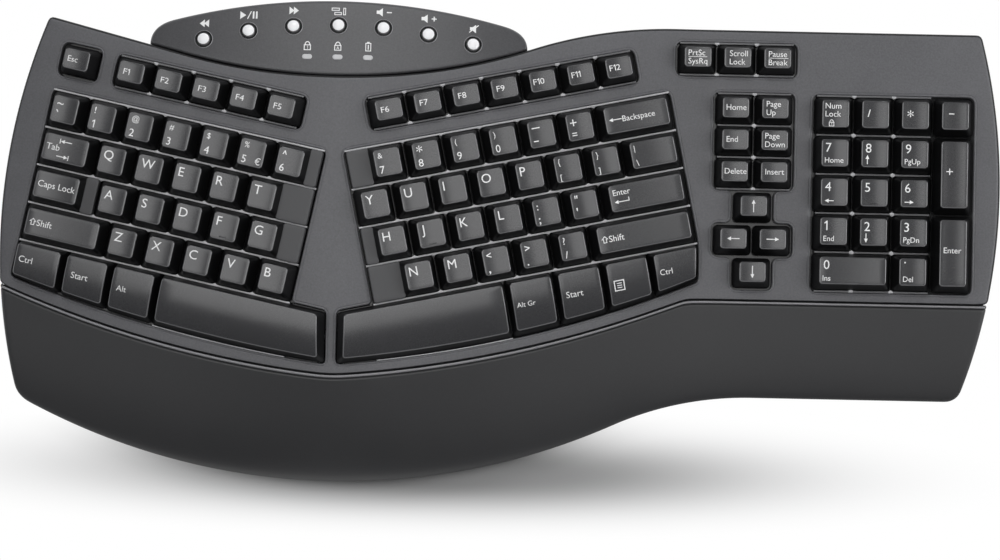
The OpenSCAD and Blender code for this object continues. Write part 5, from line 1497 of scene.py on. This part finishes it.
legends = {
    "key_esc": [label("Esc", SMALL, left=2.0, top=3.2)],
    "keys_f1_to_f5": [label(f"F{i}", SMALL, F_WIDE, left=2.5, top=3.4) for i in range(1, 6)],
    "keys_f6_to_f12": [label(f"F{i}", SMALL, F_WIDE, left=2.5, top=3.2) for i in range(6, 10)]
    + [label(f"F{i}", SMALL, F_WIDE, left=1.7, top=3.2) for i in range(10, 13)],
    "keys_left_number_row": number_row,
    "key_tab": [label("Tab", NAME, left=1.5, top=4.6) + tab],
    "keys_q_to_t": letters("QWERT"),
    "key_caps_lock": [label("Caps Lock", NAME, left=1.6, top=4.4)],
    "keys_a_to_g": letters("ASDFG"),
    "key_left_shift": [shift],
    "keys_z_to_b": letters("ZXCVB"),
    "keys_right_number_row": [*(pair(*c) for c in ("&7", "*8", "(9", ")0")), dashes, sums],
    "key_backspace": [backspace],
    "keys_y_to_bracket": letters("YUIOP") + [pair("{", "[", SYMBOL), pair("}", "]", SYMBOL)],
    "key_backslash": [pair("|", "\\", 3.2)],
    "keys_h_to_quote": letters("HJKL") + [pair(":", ";", 4.2), pair('"', "'", 4.2)],
    "key_enter": [label("Enter", SMALL, left=1.9, top=2.2) + sign(return_arrow(), left=2.0, top=6.6)],
    "keys_n_to_slash": letters("NM") + [pair("<", ",", 4.4), pair(">", ".", 4.4), pair("?", "/", 3.4)],
    "key_right_shift": [shift],
    "key_left_ctrl": [label("Ctrl", NAME, left=2.0, top=5.2)],
    "key_left_start": [label("Start", NAME, left=3.5, top=7.1)],
    "key_left_alt": [label("Alt", SMALL, left=2.9, top=8.3)],
    "key_alt_gr": [label("Alt Gr", 2.5, left=1.8, top=10.0)],
    "key_right_start": [label("Start", NAME, left=2.4, top=9.2)],
    "key_menu": [sign(menu_sign(), left=2.4, top=8.4)],
    "key_right_ctrl": [label("Ctrl", SMALL, left=1.8, top=7.2)],
    "keys_system": [two_lines("PrtSc", "SysRq", 1.9) + underline(9.0, 1.9), two_lines("Scroll", "Lock", 2.6),
                    two_lines("Pause", "Break") + underline(9.4, 2.2)],
    "keys_navigation": [label("Home", SMALL, left=1.9, top=3.2), two_lines("Page", "Up"),
                        label("End", SMALL, left=2.2, top=3.2), two_lines("Page", "Down", 1.8),
                        label("Delete", SMALL, left=1.6, top=3.2), label("Insert", SMALL, left=2.2, top=3.2)],
    "keys_arrows": [sign(arrow(6.0, turn), centre=True) for turn in (90, -90, 180, 0)],
    "keys_numpad_top": [num_lock, label("/", 3.6, left=2.7, top=4.2),
                        label("*", 5.6, left=2.6, top=4.2), sign(bar(0, 0, 2.6, 0.45), left=3.4, top=5.4)],
    "keys_numpad_digits": [pad_digit("7", "Home"), pad_arrow("8", 90), pad_digit("9", "PgUp"),
                           pad_arrow("4", 180), pad_digit("5"), pad_arrow("6", 0),
                           pad_digit("1", "End"), pad_arrow("2", -90), pad_digit("3", "PgDn"),
                           point],
    "key_numpad_plus": [sign(plus_sign(3.2), left=2.6, top=13.0)],
    "key_numpad_enter": [label("Enter", SMALL, left=2.0, top=13.2)],
    "key_numpad_zero": [label("0", LETTER, left=2.1, top=1.4) + label("Ins", BELOW, left=1.7, foot=1.7)],
}
for node, marks in legends.items():
    shells = [legend_shell(cap, *mark) for cap, legend in zip(groups[node], marks) for mark in legend]
    make_piece(piece_name("legends", node), shells, node, ["white_ink"], (), INK_SHARP)
print("legend pieces:", len(legends))

# %% [markdown]
# ## Media buttons, lenses and signs
# Each button is a polished dome in a dark ring. Both are turned profiles: radius and height follow a short
# list, carried round the axis. A ball cut flat would do for the dome, but the profile gives its rim as well.
# The lenses are small ovals, and the signs behind them are ink like the legends.

# %% Buttons, bezels and lenses
BUTTON_NODES = ["rewind", "play_pause", "forward", "device", "volume_down", "volume_up", "mute"]
ROUND_N, BUTTON_FOOT, DOME_START, WHITE_ROWS = 40, -2.2, 0.25, 6


def turned_on_panel(i, profile):
    """Rings at the spot of button i: a profile of (radius, height) carried round, square to the panel."""
    a = np.linspace(0, 2 * math.pi, ROUND_N, endpoint=False)
    r, z = np.asarray(profile, float).T[..., None]
    return on_panel(i * BUTTON_PITCH + r * np.cos(a), button_y(i) + r * np.sin(a), z)


dome_turn = np.linspace(0.08, math.pi / 2, 9)[::-1]
dome = [[BUTTON_R * math.sin(t), DOME_START + (BUTTON_H - DOME_START) * math.cos(t)] for t in dome_turn]
button_profile = [[0.6, BUTTON_FOOT], [BUTTON_R, BUTTON_FOOT], [BUTTON_R, 0.1], *dome]
for i, name in zip(BUTTON_SPOTS, BUTTON_NODES):
    node = "button_" + name
    points, faces = closed_loft(turned_on_panel(i, button_profile))
    # the wall and the lower rows of the dome are coloured dark grey: a painted shade towards its edge
    painted_shade_rim = (np.arange(len(faces)) < (len(button_profile) - WHITE_ROWS) * ROUND_N).astype(int)
    dome_shell = (points, faces, painted_shade_rim)
    make_piece(node + "_dome", [dome_shell], node, ["button_white", "button_rim"], [node])

bezel_profile = [[BEZEL_OUT, -0.6], [BEZEL_OUT, 0.15], [BEZEL_OUT - 0.25, 0.4], [BEZEL_OUT - 0.45, 0.45]]
bezel_profile += [[BEZEL_IN + 0.3, 0.4], [BEZEL_IN + 0.08, 0.2], [BEZEL_IN, -0.1], [BEZEL_IN, -2.0]]
bezel_rings = [turned_on_panel(i, [*bezel_profile, bezel_profile[0]]) for i in BUTTON_SPOTS]
# the rounded outer edge of each ring is coloured pale: a painted highlight
highlight_row = np.repeat((np.arange(len(bezel_profile)) == 1).astype(int), ROUND_N)
bezel_shells = [grid_shell(ring, highlight_row, closed=True) for ring in bezel_rings]
bezel_looks = ["bezel_black", "painted_highlight_grey"]
weld(make_piece("bezel_rings", bezel_shells, "case", bezel_looks, ["button_bezels"]))


def lens_rings(i):
    """An oval with a low rounded edge, from under the panel to its middle."""
    inset = np.array([0, 0, 0.1, 0.3, 0.6])
    half_w, half_d = LENS_W / 2 - inset, LENS_D / 2 - inset
    x, y = with_middle(*rounded_rings(-half_w, half_w, -half_d, half_d, half_d - 0.02))
    z = np.full_like(x, 0.3)
    z[:4] = np.array([-1.0, 0.05, 0.2, 0.28])[:, None]
    return on_panel(i * LENS_PITCH + x, LENS_Y + y, z)


lens_shells = [(*closed_loft(lens_rings(i)), 0) for i in LENS_SPOTS]
make_piece("lens_ovals", lens_shells, "case", ["lens_frost"], ["indicator_lenses"])
print("buttons:", len(BUTTON_NODES), "lenses:", len(lens_shells))

# %% Signs on the panel
SIGN_BACK, LOCK_BACK, SIGN_H = 8.0, 3.2, 3.9


def device_sign():
    """Two keyboards and a slate, for changing the host."""
    boards = [frame_box(-4.2, 0.4, 0.4, 2.2, 0.45), frame_box(-2.6, -2.2, 1.6, -0.4, 0.45)]
    return moved(joined(*boards, frame_box(2.4, -2.2, 4.0, 2.2, 0.45)), dy=-0.9, scale=0.84)


def slash(length, turn):
    """A thin stroke, turned about its middle."""
    return moved(bar(-length / 2, -0.22, length / 2, 0.22), turn=turn)


def twin_triangles(turn):
    """Two triangles in a row."""
    return beside(*[(play_triangle(SIGN_H, turn, 0.31), x) for x in (-1.05, 1.05)])


def battery_sign():
    """A framed cell with its cap and a bar inside."""
    return joined(frame_box(-1.4, 0, 1.4, 4.2, 0.4), bar(-0.6, 4.2, 0.6, 4.7), bar(-0.25, 0.9, 0.25, 3.2))


def panel_shell(shape, x, y):
    """Lays a flat shape on the panel."""
    p, faces = shape
    return on_panel(x + p[:, 0], y + p[:, 1], LIFT + p[:, 2]), faces, 0


minus = bar(-1.2, -0.28, 1.2, 0.28)
pause = beside((bar(-0.4, -1.8, 0.4, 1.8), 0.0), (bar(-0.4, -1.8, 0.4, 1.8), 1.5))
signs = [twin_triangles(180), beside((play_triangle(SIGN_H), -2.9), (slash(4.2, 65), 0.1), (pause, 2.1))]
signs += [twin_triangles(0), device_sign(), beside((speaker(), -1.6), (minus, 2.6))]
signs += [beside((speaker(), -1.6), (plus_sign(2.4, 0.56), 2.6))]
signs += [beside((speaker(), 0.2), (slash(5.8, 40), 0.2))]
locks = [padlock("1"), padlock("A"), battery_sign()]
sign_shells = [panel_shell(s, i * BUTTON_PITCH, button_y(i) + SIGN_BACK) for i, s in zip(BUTTON_SPOTS, signs)]
sign_shells += [panel_shell(s, i * LENS_PITCH, LENS_Y + LOCK_BACK) for i, s in zip(LENS_SPOTS, locks)]
make_piece("panel_signs", sign_shells, "case", ["white_ink"], (), INK_SHARP)
print("signs:", len(sign_shells))

# %% [markdown]
# ## Pieces that keep their solids
# The base, the feet and all that lies below the keys are already right in shape, so they only get a finish.

# %% Finishes of the solids
SOLID_LOOKS = {
    "base_black": ["bottom_case", "battery_door", "flip_foot_left", "flip_foot_right"],
    "brushed_steel": ["case_screws", "support_plates", "battery_contacts"],
    "rubber_black": ["rubber_feet"],
    "bezel_black": ["key_plates"],
    "silicone_grey": ["dome_sheets"],
    "film_green": ["circuit_sheets"],
    "board_green": ["media_board"],
    "cell_gold": ["batteries"],
}
for look, nodes in SOLID_LOOKS.items():
    for node in nodes:
        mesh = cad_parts[node].data
        mesh.materials.clear()
        mesh.materials.append(finishes[look])
print("solids finished:", sum(map(len, SOLID_LOOKS.values())))

# %% [markdown]
# ## Camera, floor and light
# The portrait is taken from straight above. A broad soft lamp hangs over the ridge, so that the hollow key
# tops are bright on the side that faces the middle; one behind pushes a soft shadow to the front, and one
# at the right lifts the flat pad. One lamp at the camera would be simpler, but it would leave the tops flat.
# The floor is white to the camera, apart from a long oval before the object that keeps the real shadow and
# is coloured grey there as well, a painted shadow.

# %% Camera
AIM, DISTANCE, ELEVATION, ROLL = np.array([0.6, -16.6, 15.0]), 1345.0, 89.0, 1.2
LENS_MM, SENSOR_MM = 100.0, 36.0


def stand(obj, right, up, back, at_mm):
    """Puts a camera or a lamp at a place, with its three axes as given; it looks along minus back."""
    world = np.eye(4)
    world[:3, 0], world[:3, 1], world[:3, 2], world[:3, 3] = right, up, back, at_mm * MM
    obj.matrix_world = Matrix(world.tolist())
    bpy.context.scene.collection.objects.link(obj)


def aim_camera():
    """Looks at AIM from DISTANCE at the given elevation; ROLL turns the picture about the line of sight."""
    e, r = math.radians(ELEVATION), math.radians(ROLL)
    back = np.array([0, -math.cos(e), math.sin(e)])
    level, upright = np.array([1.0, 0, 0]), np.array([0, math.sin(e), math.cos(e)])
    right, up = math.cos(r) * level + math.sin(r) * upright, math.cos(r) * upright - math.sin(r) * level
    camera = bpy.data.objects.new("portrait_camera", bpy.data.cameras.new("portrait_camera"))
    camera.data.lens, camera.data.sensor_width = LENS_MM, SENSOR_MM
    stand(camera, right, up, back, AIM + DISTANCE * back)
    bpy.context.scene.camera = camera
    return camera


camera = aim_camera()
print("camera at", [round(v, 3) for v in camera.matrix_world.translation])

# %% Floor
FLOOR_HALF, FLOOR_Z = 6000.0, -0.05
SHADOW_AT, SHADOW_HALF = (-0.03, -0.1105, 0.0), (0.262, 0.03, 1.0)
# the grey of the floor in the oval is a painted shadow that deepens the real one
SHADOW_FADE, SHADOW_PAINT_GREY, FLOOR_PALE = (0.2, 1.15), [0.3] * 3, [0.93] * 3


def pale_floor():
    """A wide plane. Rays from the camera, from glossy and from clear surfaces see it glow white, except in a
    long oval before the object: there it is a floor that is only lit, so that it keeps the real shadow, and
    its colour is darkened to grey, a painted shadow."""
    corners = np.array([[x, y, FLOOR_Z] for x, y in box(-FLOOR_HALF, -FLOOR_HALF, FLOOR_HALF, FLOOR_HALF)])
    mesh = bpy.data.meshes.new("floor")
    mesh.from_pydata((corners * MM).tolist(), [], [[0, 1, 2, 3]])
    floor = bpy.data.objects.new("floor", mesh)
    bpy.context.scene.collection.objects.link(floor)
    finish = Finish("floor_white")
    oval = {"Vector": finish.place(), "Location": SHADOW_AT, "Scale": SHADOW_HALF}
    away = finish.node("ShaderNodeMapping", {"vector_type": "TEXTURE"}, oval)
    away = finish.node("ShaderNodeVectorMath", {"operation": "LENGTH"}, {0: away}, out="Value")
    outside = finish.ramp(away, *SHADOW_FADE, 0.0, 1.0)
    finish.set(Base_Color=finish.mix(outside, SHADOW_PAINT_GREY, FLOOR_PALE), Roughness=0.9)
    path = finish.node("ShaderNodeLightPath", out="Is Camera Ray")
    rays = path + path.beside("Is Glossy Ray") + path.beside("Is Transmission Ray")
    glow = finish.node("ShaderNodeEmission", None, {"Color": (1, 1, 1, 1), "Strength": 1.0})
    lit = Sock(finish, finish.shader.outputs[0])
    mixed = finish.node("ShaderNodeMixShader", None, {0: rays * outside, 1: lit, 2: glow})
    finish.tree.links.new(mixed.socket, finish.tree.nodes["Material Output"].inputs["Surface"])
    mesh.materials.append(finish.material)
    return floor


print("floor:", pale_floor().name)

# %% World and lamps
LAMP_TARGET = np.array([0.0, 0.0, 15.0])
HORIZON, SKY_STRENGTH, SKY_MEAN, SKY_BEHIND = (0.1, 0.5), (1.3, 0.12), 0.7, 0.35
# place, width and height in mm, and watts
LAMPS = {
    "overhead_softbox": ((-105, 50, 600), (680, 440), 1.9),
    "back_softbox": ((-90, 850, 900), (500, 400), 3.6),
    "right_softbox": ((750, 60, 520), (400, 400), 3.0),
}


def soft_lamp(name, at_mm, size_mm, watts):
    """A rectangular lamp that faces the middle of the object and doesn't show itself."""
    lamp = bpy.data.lights.new(name, "AREA")
    lamp.shape, lamp.size, lamp.size_y, lamp.energy = "RECTANGLE", size_mm[0] * MM, size_mm[1] * MM, watts
    obj = bpy.data.objects.new(name, lamp)
    obj.visible_camera = False
    at = np.array(at_mm, float)
    back = (at - LAMP_TARGET) / np.linalg.norm(at - LAMP_TARGET)
    right = np.cross([0, 1.0, 0], back)
    right = right / np.linalg.norm(right)
    stand(obj, right, np.cross(back, right), back, at)


def studio_sky(world):
    """A bright band near the horizon that fades upwards, a little brighter behind the object."""
    sky = Sky(world)
    way = sky.node("ShaderNodeSeparateXYZ", None, {0: sky.node("ShaderNodeTexCoord", out="Generated")}, "Z")
    band = sky.ramp(way, *HORIZON, *SKY_STRENGTH)
    sky.set(Color=(0.95, 0.97, 1.0, 1.0), Strength=band * (way.beside("Y") * SKY_BEHIND + SKY_MEAN))


scene = bpy.context.scene
scene.view_settings.view_transform = "Standard"
scene.world = bpy.data.worlds.new("studio")
scene.world.use_nodes = True
studio_sky(scene.world)
for name, lamp in LAMPS.items():
    soft_lamp(name, *lamp)
print("lamps:", len(LAMPS))
